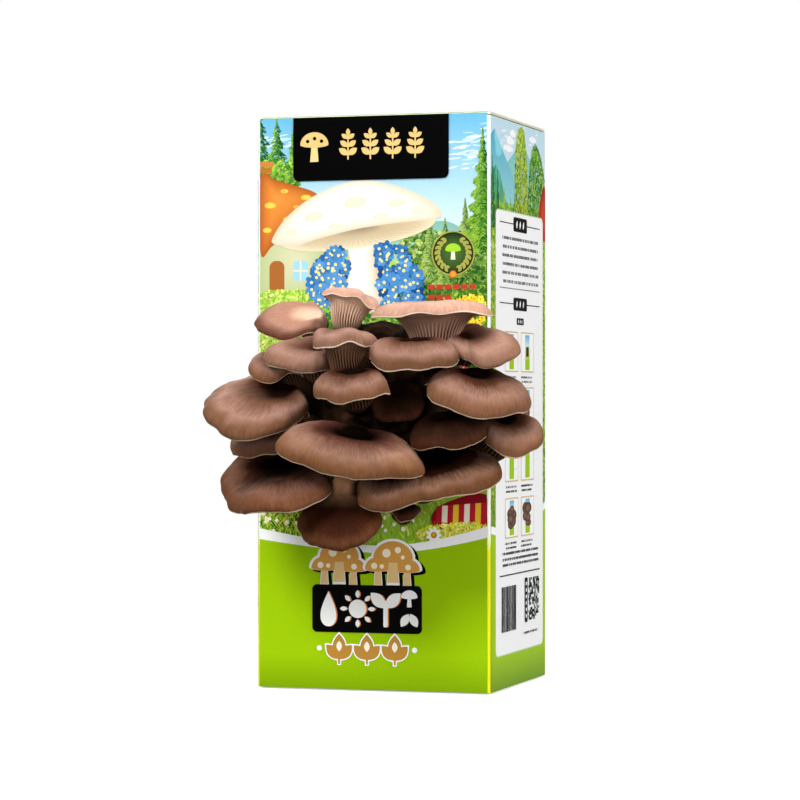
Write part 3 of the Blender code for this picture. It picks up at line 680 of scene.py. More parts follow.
# black plate at the top with a gold mushroom and four gold sprigs
PALE_GOLD = linear("#e2c079")
plate_left, plate_right = -36.3, 34.7
rounded_foot = panel(plate_left, plate_right, 221.7, 240, 2.6)[17:]
front.shape(np.vstack([rounded_foot, [(plate_right, FRONT_TOP), (plate_left, FRONT_TOP)]]), BLACK)
little_mushroom(front, -26.5, 236.5, 13.0, PALE_GOLD, linear("#f0cf8a"))
for k in range(3):
    front.shape(disc(-29.6 + 3.2 * k, 239.0 + (1.2 if k == 1 else 0), 0.8, sides=16), BLACK)
for at in -11.0 + 10.2 * np.arange(4):
    front.shape(panel(at - 0.35, at + 0.35, 230.6, 241.5, 0.3), PALE_GOLD)
    for side in (-1, 1):
        for level, length in ((233.2, 5.0), (236.6, 4.4), (239.8, 3.6)):
            leaf_sign(front, at + side * length * 0.42, level + 1.0, length, math.pi / 2 - side * 0.95,
                      PALE_GOLD)
    leaf_sign(front, at, 242.6, 3.4, math.pi / 2, PALE_GOLD)

# two gold and white clumps over a black shadow, where the wave meets the base
CLUMP_SIGN_V = 54.4
for at in (-15.2, 9.4):
    for dx, dy, grow_by, cap, stem in ((1.6, -1.0, 2.2, BLACK, BLACK), (0, 0, 2.2, WHITE, WHITE),
                                       (0, 0, 0.0, GOLD, linear("#e8c588"))):
        for ox, oy, size in ((-6.6, -2.6, 12.0), (6.6, -3.0, 11.5), (0.2, 1.4, 18.0)):
            little_mushroom(front, at + ox + dx, CLUMP_SIGN_V + oy + dy, size + grow_by, cap, stem)
    for ox, oy, size in ((-8.4, -0.4, 1.4), (-4.9, -0.6, 1.0), (-2.8, 5.2, 1.9), (2.4, 6.6, 1.4),
                         (4.6, 3.4, 0.9), (7.0, -0.9, 1.3)):
        front.shape(disc(at + ox, CLUMP_SIGN_V + oy, size, sides=20), linear("#fff2d2"))

# black plate with white signs edged in orange: drop, sun, sprout, two leaves
front.shape(panel(-27.4, 22.7, 24.8, 45.6, 2.2), BLACK)
drop_a = np.linspace(0, 2 * np.pi, 40, endpoint=False)
pinch = 5.0 * np.sin(drop_a) * np.sin(drop_a / 2) ** 1.3
for push, tone in ((0.55, linear("#e08a3c")), (0.0, WHITE)):
    front.shape(np.stack([-20.0 + push - pinch, 35.0 + 7.7 * np.cos(drop_a)], -1), tone)
    front.shape(disc(-6.6 + push, 35.2, 4.0), tone)
    for k in range(8):
        a = k * math.pi / 4
        leaf_sign(front, -6.6 + push + 6.4 * math.cos(a), 35.2 + 6.4 * math.sin(a), 3.4, a, tone)
    front.shape(panel(5.2 + push, 7.2 + push, 27.4, 39.0, 0.8), tone)
    for side in (-1, 1):
        leaf_sign(front, 6.2 + push + side * 3.4, 39.0, 9.4, math.pi / 2 - side * 0.8, tone)
little_mushroom(front, 17.0, 40.0, 7.4, WHITE, WHITE)
leaf_sign(front, 15.0, 30.6, 6.6, 1.0, WHITE)
leaf_sign(front, 19.0, 30.6, 6.6, 2.1, WHITE)

# a row of three gold sprigs edged in white between two white dots
for at in (-15.0, -2.3, 10.4):
    for grow_by, tone in ((1.8, WHITE), (0.0, linear("#bd8a3a"))):
        for lean_by, ox, oy, length in ((2.35, -2.9, -1.4, 8.6), (0.8, 2.9, -1.4, 8.6),
                                        (math.pi / 2, 0.0, 1.2, 10.6)):
            leaf_sign(front, at + ox, 17.6 + oy, length + grow_by, lean_by, tone)
        half = 0.5 + grow_by / 4
        front.shape(panel(at - half, at + half, 11.5 - half, 16.0, 0.3), tone)
    leaf_sign(front, at, 18.8, 4.6, math.pi / 2, linear("#fbf3dc"))
for at in (-24.1, 19.4):
    front.shape(disc(at, 17.8, 1.2, sides=24), WHITE)
front_print = front.finish("front_print", offset_print)
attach(front_print, "carton")


# ---- Side panels -----------------------------------------------------------
# The landscape runs round the corners.  On each side a white card-shaped field
# holds the growing steps as small framed scenes between ruled lines, with
# plain grey rules where the notes stand, bars and a block of squares.
INK = linear("#26262a")
WOOD = "#2c6a2a", "#5f9c30", "#a9cc4c"
DARK_FIR = "#123a1a", "#25652c", "#5f9a3a"
HEDGE = "#3f7a22", "#7fae2e", "#c9d94c"


def rules(page, draw, u0, u1, rows, tall=1.0):
    """Broken grey rules: runs of 0.5 to 1.5 mm with small gaps between them."""
    spots = []
    for v in rows:
        at = u0 + draw.uniform(0, 2)
        while at < u1 - 2:
            run = draw.uniform(0.5, 1.5)
            low, high = v - tall / 2, v + tall / 2
            spots.append(((at, low), (at + run, low), (at + run, high), (at, high)))
            at += run + draw.choice((0.25, 0.3, 0.35, 1.2))
    spots = np.array(spots)
    page.lay(spots.reshape(-1, 2), np.arange(len(spots) * 4).reshape(-1, 4), linear("#3c3c40"))


def tag(page, u, v, wide, tall):
    """A black rounded tag with a white leaf."""
    page.shape(panel(u - wide / 2, u + wide / 2, v - tall / 2, v + tall / 2, min(wide, tall) * 0.22), BLACK)
    for k in (-1, 0, 1):
        leaf_sign(page, u + k * wide * 0.24, v, tall * 0.62, 1.2, WHITE)


def step_scene(page, draw, u0, u1, v0, v1, kind):
    """One framed growing step: the carton, the window, misting, or the clump."""
    page.shape(panel(u0, u1, v0, v1, 0.8), linear("#d9b98a"))
    page.shape(panel(u0 + 0.6, u1 - 0.6, v0 + 0.6, v1 - 0.6, 0.5), linear("#fdfdfa"))
    mid, foot, top = (u0 + u1) / 2, v0 + 1.2, v1 - 1.2
    half, tall = (u1 - u0) * 0.17, top - foot
    page.field(mid - half, mid + half, foot, top, 1, 12,
               lambda u, v: sky_colour(u, 60 + (v - foot) / tall * 190))
    page.shape(panel(mid - half, mid + half, foot, foot + tall * 0.28, 0.2), GREEN_BASE)
    if kind == 1:
        page.shape(panel(mid - half * 0.6, mid + half * 0.6, foot + tall * 0.38, foot + tall * 0.66, 0.4),
                   linear("#3a2a20"))
    if kind == 2:
        n = 40
        spots = np.stack([draw.uniform(u0 + 1.2, u1 - 1.2, n), draw.uniform(foot + 2, top - 1, n)], -1)
        page.dabs(spots, np.full(n, 0.7), np.full(n, 0.4), np.full(n, -1.1),
                  np.tile(linear("#5aa6dc"), (n, 1)), 8)
    if kind >= 3:
        for k in range(9):
            w = half * draw.uniform(0.8, 1.6)
            at = (mid + draw.uniform(-1, 1) * half, foot + tall * draw.uniform(0.3, 0.75))
            page.shaded(disc(*at, w, w * 0.45, 20), at, linear("#8d6650"), linear("#3c261b"))


def side_print(name, to_panel, seed):
    """One side panel: scenery, wave and base, then the white field with its notes."""
    page = Print(to_panel, HALF_Y, WALL_TOP)
    draw = np.random.default_rng(seed)
    landscape(page, draw, 0.6)
    wisps(page, draw, -4, 242, 70, 8, 40)
    for at in ((-18, 236, 15, 3.6), (-14, 239.5, 12, 3.8), (-10, 243, 8, 3.4), (24, 243, 12, 3.0)):
        cloud(page, draw, *at)
    ridges(page, HALF_Y)
    foliage(page, draw, panel(-HALF_Y, HALF_Y, 196, 212, 2), 3.0, 1100, *WOOD, shade_up=0.6)
    for at, foot, tip, half in ((-43, 200, 232, 6), (-35, 202, 226, 5), (-4, 204, 222, 4), (2, 203, 219, 4)):
        conifer(page, draw, at, foot, tip, half, *DARK_FIR, 300)
    foliage(page, draw, curve([(-5, 200), (-7, 222), (-4, 240), (2, 247), (8, 246), (13, 236), (15, 220),
                               (15, 200)]), 2.6, 800, "#356f20", "#6f9f2c", "#aebf3c", "#d9d955")
    foliage(page, draw, curve([(17, 200), (16, 216), (19, 232), (27, 241), (36, 238), (44, 228), (45.9, 212),
                               (45.9, 200)]), 2.8, 700, "#174a1e", "#2f7a2a", "#6fa534", "#a5c440")
    for at, foot, tip, half in ((-24, 199, 219, 5), (-14, 198, 215, 4)):
        conifer(page, draw, at, foot, tip, half, "#3a7a22", "#8fb83a", "#e2e57a", 260)
    page.shaded(curve([(33, 199), (45.9, 196), (45.9, 222), (40, 221), (35, 212)]), (42, 212),
                linear("#d9482c"), linear("#9c2318"))
    foliage(page, draw, panel(39, HALF_Y, 66, 198, 2), 2.6, 900, *HEDGE)
    foliage(page, draw, panel(-HALF_Y, -36, 66, 200, 2), 2.6, 900, *HEDGE)
    across = np.linspace(0, 1, 50)
    wave_and_base(page, 68.5 + 8 * across - 6 * np.sin(np.pi * across), 3.2, "#6f9608")

    page.shape(panel(-38.6, 41.6, 14.6, 208.9, 3.4), linear("#cfd8c4"))
    page.shape(panel(-38.2, 41.2, 15.0, 208.5, 3.0), linear("#fbfbfa"))
    for v in (203.6, 168.4):
        page.shape(panel(-32, 36, v - 0.25, v + 0.25, 0.2), INK)
    tag(page, 2.0, 203.6, 23, 6.4)
    tag(page, 2.0, 168.4, 23, 5.6)
    page.shape(panel(-32, 36, 174.8, 175.3, 0.2), linear("#8a8a8a"))
    rules(page, draw, -28, 34, (197.0, 193.2, 189.4, 185.6, 181.8, 178.0), 1.3)
    tag(page, 2.0, 160.8, 12, 3.0)
    for kind, v1, v0 in ((0, 156.2, 138.3), (2, 131.7, 90.0), (3, 83.0, 65.3)):
        step_scene(page, draw, -23.4, -1.6, v0, v1, kind)
        step_scene(page, draw, 3.2, 25.2, v0, v1, kind + 1)
        rules(page, draw, -23.4, -3, (v0 - 2.2, v0 - 4.2), 0.9)
        rules(page, draw, 3.2, 24, (v0 - 2.2, v0 - 4.2), 0.9)
    rules(page, draw, -28, 34, (58.8, 56.2, 53.8), 1.1)
    page.shape(panel(-32.4, 35.4, 49.0, 49.6, 0.2), INK)
    # a strip of bars of random width
    at = -29.2
    while at < -5.5:
        wide = draw.choice((0.4, 0.8, 1.2))
        page.shape(np.array([(at, 24.6), (at + wide, 24.6), (at + wide, 44.4), (at, 44.4)]), BLACK)
        at += wide + draw.choice((0.4, 0.8))
    page.shape(panel(9.2, 14.2, 26.6, 46.6, 1.2), BLACK)
    for k in range(6):
        page.shape(disc(11.7, 29.4 + 2.9 * k, 0.9, sides=16), WHITE)
    # a block of random squares, 17 each way, about half of them inked
    cell = np.array([1.08, 1.12])
    cells = np.argwhere(draw.random((17, 17)) < 0.5)
    spots = (15.8, 27.2) + cells * cell + cell / 2
    corner = np.array([(-0.5, -0.5), (0.5, -0.5), (0.5, 0.5), (-0.5, 0.5)]) * cell
    page.lay((spots[:, None] + corner).reshape(-1, 2), np.arange(len(spots) * 4).reshape(-1, 4), BLACK)
    rules(page, draw, 7, 33, (22.0,), 1.0)
    made = page.finish(name, offset_print)
    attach(made, "carton")
    return made


side_print("right_print", lambda u, v, h: np.stack([FACE_X + h, u, v], -1), 12)
side_print("left_print", lambda u, v, h: np.stack([-FACE_X - h, -u, v], -1), 13)


# the folded edges: a painted highlight runs along each fold as a bright
# line, white at the scene and yellow at the green base
FOLD_R = 1.2


def painted_fold_highlight(name, sx, sy):
    """A painted highlight: a quarter round at the fold's radius, 0.03 mm proud, coloured by its height."""
    a = np.linspace(-0.08, np.pi / 2 + 0.08, 10)
    n = len(a)
    v = np.array([0.2, 40.0, 61.0, 66.0, 70.0, 100.0, 180.0, WALL_TOP])
    tones = np.array([linear(code) for code in ("#e4e61c", "#f2ee22", "#f4f02a", "#fbfbc0", "#fdfdf4",
                                                "#f6fbd8", "#eef8f4", "#f4fbff")])
    r = FOLD_R + 0.03
    x, y = sx * (FACE_X - FOLD_R + r * np.cos(a)), sy * (FACE_Y - FOLD_R + r * np.sin(a))
    points = np.stack([np.tile(x, (len(v), 1)), np.tile(y, (len(v), 1)), np.repeat(v[:, None], n, 1)], -1)
    i = (np.arange(len(v) - 1)[:, None] * n + np.arange(n - 1)).ravel()
    quads = np.stack([i, i + 1, i + n + 1, i + n], -1)
    if sx * sy < 0:
        quads = quads[:, ::-1]
    made = piece_from(name, points.reshape(-1, 3), [quads], offset_print, ink=np.repeat(tones, n, axis=0))
    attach(made, "carton")


for name, sx, sy in (("fold_highlight_front_right", 1, -1), ("fold_highlight_front_left", -1, -1), ("fold_highlight_back_right", 1, 1),
                     ("fold_highlight_back_left", -1, 1)):
    painted_fold_highlight(name, sx, sy)


# ---- Back panel ------------------------------------------------------------
# The same landscape closes the circle at the back.  A wide white card field
# carries four large growing steps, grey rules, and a gold mushroom on a black
# plate.  Its layout is a guess, so it is kept plain.
back = Print(lambda u, v, h: np.stack([-u, FACE_Y + h, v], -1), HALF_X, WALL_TOP)
draw = np.random.default_rng(21)
landscape(back, draw, 0.6)
wisps(back, draw, 0, 240, 88, 8, 60)
cloud(back, draw, -26, 236, 24, 6)
cloud(back, draw, 28, 241, 20, 5)
ridges(back, HALF_X)
foliage(back, draw, panel(-HALF_X, HALF_X, 192, 210, 2), 3.0, 1100, *WOOD, shade_up=0.6)
for at, foot, tip, half in ((-46, 196, 244, 8), (-35, 198, 232, 6), (38, 198, 238, 7), (47, 196, 246, 8)):
    conifer(back, draw, at, foot, tip, half, *DARK_FIR, 420)
foliage(back, draw, panel(-HALF_X, -40, 66, 196, 2), 2.6, 700, *HEDGE)
foliage(back, draw, panel(40, HALF_X, 66, 196, 2), 2.6, 700, *HEDGE)
n = 60
spots = np.stack([draw.uniform(-50, 50, n), draw.uniform(64, 84, n)], -1)
blossoms(back, draw, spots, 1.6, 5, "#e8b82c", "#ffffff", "#f5f0e0")
wide_wave(back)
back.shape(panel(-42, 42, 76, 214, 4), linear("#cfd8c4"))
back.shape(panel(-41.5, 41.5, 76.5, 213.5, 3.5), linear("#fbfbfa"))
back.shape(panel(-26, 26, 198, 210, 2.2), BLACK)
little_mushroom(back, -17, 204, 8, GOLD, GOLD)
for at in (-7, 1, 9, 17):
    leaf_sign(back, at, 204, 7.5, 1.2, GOLD)
for kind, (u0, v0) in enumerate(((-36, 146), (3, 146), (-36, 92), (3, 92))):
    step_scene(back, draw, u0, u0 + 33, v0, v0 + 42, kind)
    rules(back, draw, u0, u0 + 33, (v0 - 3.0, v0 - 5.6, v0 - 8.2), 1.1)
rules(back, draw, -38, 38, (194, 191, 191.5), 1.1)
back.shape(panel(-34, -6, 22, 46, 2), WHITE)
for k in range(8):
    back.shape(panel(-31, -31 + draw.uniform(12, 22), 24.2 + 2.6 * k, 25.3 + 2.6 * k, 0.3), INK)
for at in (10, 22, 34):
    back.shape(disc(at, 34, 5), WHITE)
    leaf_sign(back, at, 34, 7.5, 1.1, GREEN_BASE)
made = back.finish("back_print", offset_print)
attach(made, "carton")


# ---- Lid -------------------------------------------------------------------
# One more panel of the same card, creased along the top of the back wall.  Its
# tuck flap slides in behind the front wall.  White-lined and printed on top,
# bare kraft underneath, with a pale core along the cut edges.
lid_card, tree, shader, place, kraft = kraft_board("kraft_lined_lid_card", 0.6)
faces_up = add(tree, "SeparateXYZ", links={0: add(tree, "TexCoord").outputs["Normal"]})
top_side = add(tree, "Math", {"operation": "GREATER_THAN"}, {1: 0.5}, {0: faces_up.outputs["Z"]})
flap_side = add(tree, "Math", {"operation": "LESS_THAN"}, {1: -0.5}, {0: faces_up.outputs["Y"]})
outer = add(tree, "Math", {"operation": "MAXIMUM"}, links={0: top_side.outputs[0], 1: flap_side.outputs[0]})
cut = add(tree, "Math", {"operation": "ABSOLUTE"}, links={0: faces_up.outputs["X"]})
cut = add(tree, "Math", {"operation": "GREATER_THAN"}, {1: 0.5}, {0: cut.outputs[0]})
edged = add(tree, "Mix", {"data_type": "RGBA"}, {7: rgba("#d8d3c6")},
            {0: cut.outputs[0], 6: kraft.outputs[0]})
lined = add(tree, "Mix", {"data_type": "RGBA"}, {7: rgba("#eceeec")},
            {0: outer.outputs[0], 6: edged.outputs[2]})
tree.links.new(lined.outputs[2], shader.inputs["Base Color"])
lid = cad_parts["carton_lid"]
lid.data.materials.clear()
lid.data.materials.append(lid_card)

# the print on top: sky and firs at the hinge side, green and gold in front
lid_low, lid_high = box_mm("carton_lid")
LID_X, LID_FRONT, LID_BACK, LID_TOP = lid_high[0] - 0.2, lid_low[1] + 0.4, lid_high[1] - 0.3, lid_high[2]
top_page = Print(lambda u, v, h: np.stack([u, v, LID_TOP + h], -1), LID_X, LID_BACK)
top_page.foot = LID_FRONT
draw = np.random.default_rng(31)
top_page.field(-LID_X, LID_X, LID_FRONT, LID_BACK, 8, 40,
               lambda u, v: sky_colour(u, 175 + (v - LID_FRONT) * 0.8))
wisps(top_page, draw, 0, 28, 96, 24, 90)
cloud(top_page, draw, -30, 30, 26, 7)
cloud(top_page, draw, 30, 22, 24, 7)
foliage(top_page, draw, panel(-LID_X, LID_X, -24, -8, 2), 3.0, 900, *WOOD, shade_up=0.6)
for at, tip, half in ((-47, 20, 7), (-37, 8, 6), (38, 10, 6), (47, 24, 7)):
    conifer(top_page, draw, at, -16, tip, half, *DARK_FIR, 300)
u = np.linspace(-LID_X, LID_X, 50)
low = -26 + 5 * (u / LID_X) ** 2
top_page.band_between(u, np.full(50, LID_FRONT), low + 0.3, linear("#92bb08"), GREEN_BASE)
top_page.band_between(u, low, low + 2.6, WHITE, WHITE)
top_page.shape(panel(-30, 30, -10, 14, 4), BLACK)
little_mushroom(top_page, -18, 2.5, 15, GOLD, GOLD)
for at in (-4, 5, 14, 23):
    leaf_sign(top_page, at, 2, 13, 1.25, GOLD)
for at in (-12, 0, 12):
    leaf_sign(top_page, at, -36, 8, 1.2, WHITE)
made = top_page.finish("lid_print", offset_print)
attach(made, "lid")


# ---- Inside: the colonised block -------------------------------------------
# Sawdust and bran pressed into a log and grown through by the fungus: a firm
# white felt of mycelium with patches of brown sawdust showing through.  It
# stands on the carton's floor inside its bag.
block, tree, shader = new_finish("colonised_sawdust_block", Roughness=0.85)
place = add(tree, "TexCoord").outputs["Object"]
# felt in patches about 17 mm across, over sawdust chips about 2.4 mm across
blots = add(tree, "TexNoise", None, {"Scale": 60.0, "Detail": 8.0, "Roughness": 0.6}, {"Vector": place})
felt = add(tree, "ValToRGB", None, None, {0: blots.outputs["Fac"]},
           ((0.36, rgba("#8a6238")), (0.47, rgba("#dccfb4")), (0.62, rgba("#f4f0e4"))))
chips = add(tree, "TexVoronoi", {"feature": "F1"}, {"Scale": 420.0}, {"Vector": place})
chip = add(tree, "ValToRGB", None, None, {0: chips.outputs["Distance"]},
           ((0.1, (0.8, 0.74, 0.66, 1)), (0.5, (1, 1, 1, 1))))
speckled = add(tree, "Mix", {"data_type": "RGBA", "blend_type": "MULTIPLY"}, {0: 0.7},
               {6: felt.outputs[0], 7: chip.outputs[0]})
fluff = add(tree, "TexNoise", None, {"Scale": 1400.0, "Detail": 3.0}, {"Vector": place})
downy = add(tree, "Bump", None, {"Strength": 0.4, "Distance": 0.0003}, {"Height": fluff.outputs["Fac"]})
knobs = add(tree, "Bump", None, {"Strength": 0.5, "Distance": 0.0008},
            {"Height": chips.outputs["Distance"], "Normal": downy.outputs[0]})
tree.links.new(speckled.outputs[2], shader.inputs["Base Color"])
tree.links.new(knobs.outputs[0], shader.inputs["Normal"])


def spun(profile, around, wrinkle):
    """A profile of (r, z) spun about Z, each point moved by wrinkle(r, theta, z)."""
    theta = np.linspace(0, 2 * np.pi, around, endpoint=False)
    r = np.repeat(profile[:, 0:1], around, axis=1)
    z = np.repeat(profile[:, 1:2], around, axis=1)
    out = wrinkle(r, np.broadcast_to(theta, r.shape), z)
    return np.stack([(r + out) * np.cos(theta), (r + out) * np.sin(theta), z], -1)


def spaced(corners, step):
    """Points along a polyline no more than step apart."""
    corners = np.asarray(corners, float)
    parts = [corners[:1]]
    for a, b in zip(corners[:-1], corners[1:]):
        n = max(1, int(np.ceil(np.linalg.norm(b - a) / step)))
        parts.append(a + (b - a) * np.linspace(0, 1, n + 1)[1:, None])
    return np.concatenate(parts)


def capped(rings):
    """Points and faces of a spun grid closed with a fan at both ends."""
    rows, around = rings.shape[:2]
    flat = rings.reshape(-1, 3)
    ends = np.array([[0, 0, rings[0, :, 2].mean()], [0, 0, rings[-1, :, 2].mean()]])
    first = fan(len(flat), np.arange(around), flipped=True)
    last = fan(len(flat) + 1, np.arange(around) + (rows - 1) * around)
    return np.vstack([flat, ends]), [ring_faces(rows, around), np.concatenate([first, last])]


log_profile = spaced([(2.0, 3.0), (40.6, 3.0), (43.5, 6.0), (43.5, 187.0), (40.4, 190.0), (2.0, 190.0)], 3.2)


def lumps(points, seed, wavelength, waves=14):
    """Sum of plane waves in random directions, about -1 to 1."""
    draw = np.random.default_rng(seed)
    k = draw.standard_normal((waves, 3))
    k *= (2 * np.pi / wavelength) / np.linalg.norm(k, axis=1, keepdims=True)
    phase = draw.uniform(0, 2 * np.pi, waves)
    return np.cos(points @ k.T + phase).sum(1) / math.sqrt(waves)


def crumble(r, theta, z):
    """Pressed sawdust: dents up to half a millimetre deep, none proud."""
    spots = np.stack([r * np.cos(theta), r * np.sin(theta), z], -1).reshape(-1, 3)
    return -0.22 - 0.12 * lumps(spots, 3, 7.0).reshape(r.shape).clip(-1.6, 1.6)


log_points, log_faces = capped(spun(log_profile, 128, crumble))
made = piece_from("mycelium_log", log_points, log_faces, block)
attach(made, "carton")
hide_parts("substrate_block")


# ---- Inside: the bag -------------------------------------------------------
# A heat-proof film bag round the log, gathered at the shoulder into a neck.
# The film is 0.4 mm of milky polypropylene with creases fanning out of the
# neck; it is slit where the clump leaves through the carton's window.
film, tree, shader = new_finish("milky_bag_film", Roughness=0.22, Alpha=0.42)
place = add(tree, "TexCoord").outputs["Object"]
# slack crinkles about 11 mm apart
crinkle = add(tree, "TexNoise", None, {"Scale": 90.0, "Detail": 6.0, "Distortion": 1.2}, {"Vector": place})
haze = add(tree, "ValToRGB", None, None, {0: crinkle.outputs["Fac"]},
           ((0.3, rgba("#dfe5e4")), (0.7, rgba("#fbfcfa"))))
crease = add(tree, "Bump", None, {"Strength": 0.6, "Distance": 0.0006}, {"Height": crinkle.outputs["Fac"]})
tree.links.new(haze.outputs[0], shader.inputs["Base Color"])
tree.links.new(crease.outputs[0], shader.inputs["Normal"])
bag_profile = spaced([(1.5, 2.4), (42.0, 2.4), (44.3, 4.6), (44.3, 187.0), (39.4, 195.0), (22.3, 205.0),
                      (14.4, 212.0), (14.4, 226.0)], 3.0)
AROUND_BAG = 180


def creased(r, theta, z):
    """Pleats that deepen towards the neck, and small slack waves on the wall."""
    up = np.clip((z - 188) / 12, 0, 1) * np.clip((211 - z) / 8, 0, 1)
    pleats = np.abs(np.sin(9 * theta + 1.1 * np.sin(3 * theta))) ** 0.7 - 0.6
    slack = 0.10 * np.sin(7 * theta + 0.05 * z) * np.sin(0.11 * z + 2 * theta)
    return 1.3 * up * pleats + slack * np.clip((186 - z) / 10, 0, 1) * np.clip((z - 8) / 6, 0, 1)


outer_skin = spun(bag_profile, AROUND_BAG, creased)
inner_profile = bag_profile.copy()
inner_profile[:, 0] = (inner_profile[:, 0] - 0.36).clip(1.2)
height = inner_profile[:, 1].copy()
inner_profile[:, 1] += 0.3 * (height < 3.0) - 0.2 * (height > 188) * (height < 212)
inner_skin = spun(inner_profile, AROUND_BAG, creased)
rows = len(bag_profile)
quads = ring_faces(rows, AROUND_BAG)
centre = outer_skin.reshape(-1, 3)[quads].mean(1)
# the slit: no film where the clump passes through, behind the carton's window
WINDOW_X, WINDOW_Z = 4.0, 122.0
kept = ~((np.abs(centre[:, 0] - WINDOW_X) < 25.0) & (np.abs(centre[:, 2] - WINDOW_Z) < 32.0)
         & (centre[:, 1] < 0))
skin = rows * AROUND_BAG
kept_out, kept_in = quads[kept], quads[kept][:, ::-1] + skin
edges = np.concatenate([kept_out[:, [k, (k + 1) % 4]] for k in range(4)])
keys = edges[:, 0] * skin + edges[:, 1]
open_edges = edges[~np.isin(keys, edges[:, 1] * skin + edges[:, 0])]
open_edges = open_edges[open_edges.min(1) >= AROUND_BAG]
walls = np.stack([open_edges[:, 1], open_edges[:, 0], open_edges[:, 0] + skin, open_edges[:, 1] + skin], -1)
bag_points = np.concatenate([outer_skin.reshape(-1, 3), inner_skin.reshape(-1, 3),
                             [[0, 0, 2.4], [0, 0, inner_profile[0, 1]]]])
pole_out = fan(2 * skin, np.arange(AROUND_BAG), flipped=True)
pole_in = fan(2 * skin + 1, np.arange(AROUND_BAG) + skin)
made = piece_from("creased_grow_bag", bag_points, [np.concatenate([kept_out, kept_in, walls]),
                                                  np.concatenate([pole_out, pole_in])], film)
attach(made, "carton")
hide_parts("grow_bag")


# ---- Inside: neck collar and plug ------------------------------------------
# An injection-moulded collar that the film is folded over, and a push-in plug
# with a filter disc.  Both are stiff white polypropylene, satin, with a fine
# moulded grain and faint turning rings.
for node, name, code in (("bag_collar", "collar_polypropylene", "#eef1ee"),
                         ("bag_plug", "plug_polypropylene", "#e3e8ea")):
    plastic, tree, shader = new_finish(name, Roughness=0.38)
    place = add(tree, "TexCoord").outputs["Object"]
    # clouding 7 mm across, grain 0.3 mm across and turning rings 1.2 mm apart
    clouding = add(tree, "TexNoise", None, {"Scale": 140.0, "Detail": 3.0}, {"Vector": place})
    tint = add(tree, "ValToRGB", None, None, {0: clouding.outputs["Fac"]},
               ((0.3, rgba("#d5dad8")), (0.7, rgba(code))))
    grain = add(tree, "TexNoise", None, {"Scale": 3000.0, "Detail": 2.0}, {"Vector": place})
    turning = add(tree, "TexWave", {"wave_type": "RINGS", "rings_direction": "Z"}, {"Scale": 260.0},
                  {"Vector": place})
    fine = add(tree, "Bump", None, {"Strength": 0.2, "Distance": 0.00005}, {"Height": grain.outputs["Fac"]})
    ringed = add(tree, "Bump", None, {"Strength": 0.25, "Distance": 0.0001},
                 {"Height": turning.outputs["Fac"], "Normal": fine.outputs[0]})
    tree.links.new(tint.outputs[0], shader.inputs["Base Color"])
    tree.links.new(ringed.outputs[0], shader.inputs["Normal"])
    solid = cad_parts[node]
    solid.data.materials.clear()
    solid.data.materials.append(plastic)


# ---- Clump: the knot the stems grow from -----------------------------------
# A dense brown knot of young oyster mushroom tissue that swells out of the slit
# in the bag and through the carton's window.  It is soft, matt and slightly
# bumpy, and every stem roots in it.  Its brown runs down to near black:
# painted shade for the hollow under the caps, over the tissue's own brown.
BASE_DEPTH = 27.0
knot_low, knot_high = box_mm("cluster_base")
BASE_R = (knot_high - knot_low) / 2
BASE_R[1] = BASE_DEPTH
BASE = (knot_high + knot_low) / 2
BASE[1] = knot_low[1] + BASE_DEPTH
NECK_HALF_X, NECK_HALF_Z = 22.0, 29.0   # just inside the carton's window
NECK_Y = -FACE_Y - 0.6                  # just in front of the carton's wall
LOG_R = 44.0                            # just outside the log, where the knot roots

tissue, tree, shader = new_finish("young_mushroom_tissue", Roughness=0.9, Specular_IOR_Level=0.05)
place = add(tree, "TexCoord").outputs["Object"]
# mottling about 6 mm across under a nap of 0.7 mm; its darkest tones are painted shade
mottle = add(tree, "TexNoise", None, {"Scale": 160.0, "Detail": 5.0}, {"Vector": place})
tone = add(tree, "ValToRGB", None, None, {0: mottle.outputs["Fac"]},
           ((0.35, rgba("#0d0704")), (0.7, rgba("#40291b"))))
fuzz = add(tree, "TexNoise", None, {"Scale": 1500.0, "Detail": 3.0}, {"Vector": place})
nap = add(tree, "Bump", None, {"Strength": 0.4, "Distance": 0.0002}, {"Height": fuzz.outputs["Fac"]})
tree.links.new(tone.outputs[0], shader.inputs["Base Color"])
tree.links.new(nap.outputs[0], shader.inputs["Normal"])

# polar grid from the middle of the front round to the flat back, then in
# through the window to the log
AROUND_BASE = 200
bend = np.linspace(0, 1, 60)[1:] * (math.pi / 2 - math.asin(2.5 / BASE_R[1]))
turn_base = np.linspace(0, 2 * np.pi, AROUND_BASE, endpoint=False)
dome_part = np.stack([np.outer(np.sin(bend), np.cos(turn_base)),
                      np.outer(-np.cos(bend), np.ones(AROUND_BASE)),
                      np.outer(np.sin(bend), np.sin(turn_base))], -1) * BASE_R + BASE
dome_part[-1, :, 1] = NECK_Y
# the neck's outline is a superellipse |x / a|^5 + |z / b|^5 = 1
c, s = np.cos(turn_base), np.sin(turn_base)
square = (np.abs(c) ** 5 / NECK_HALF_X ** 5 + np.abs(s) ** 5 / NECK_HALF_Z ** 5) ** -0.2
neck_ring = np.stack([WINDOW_X + square * c, np.full(AROUND_BASE, NECK_Y), WINDOW_Z + square * s], -1)
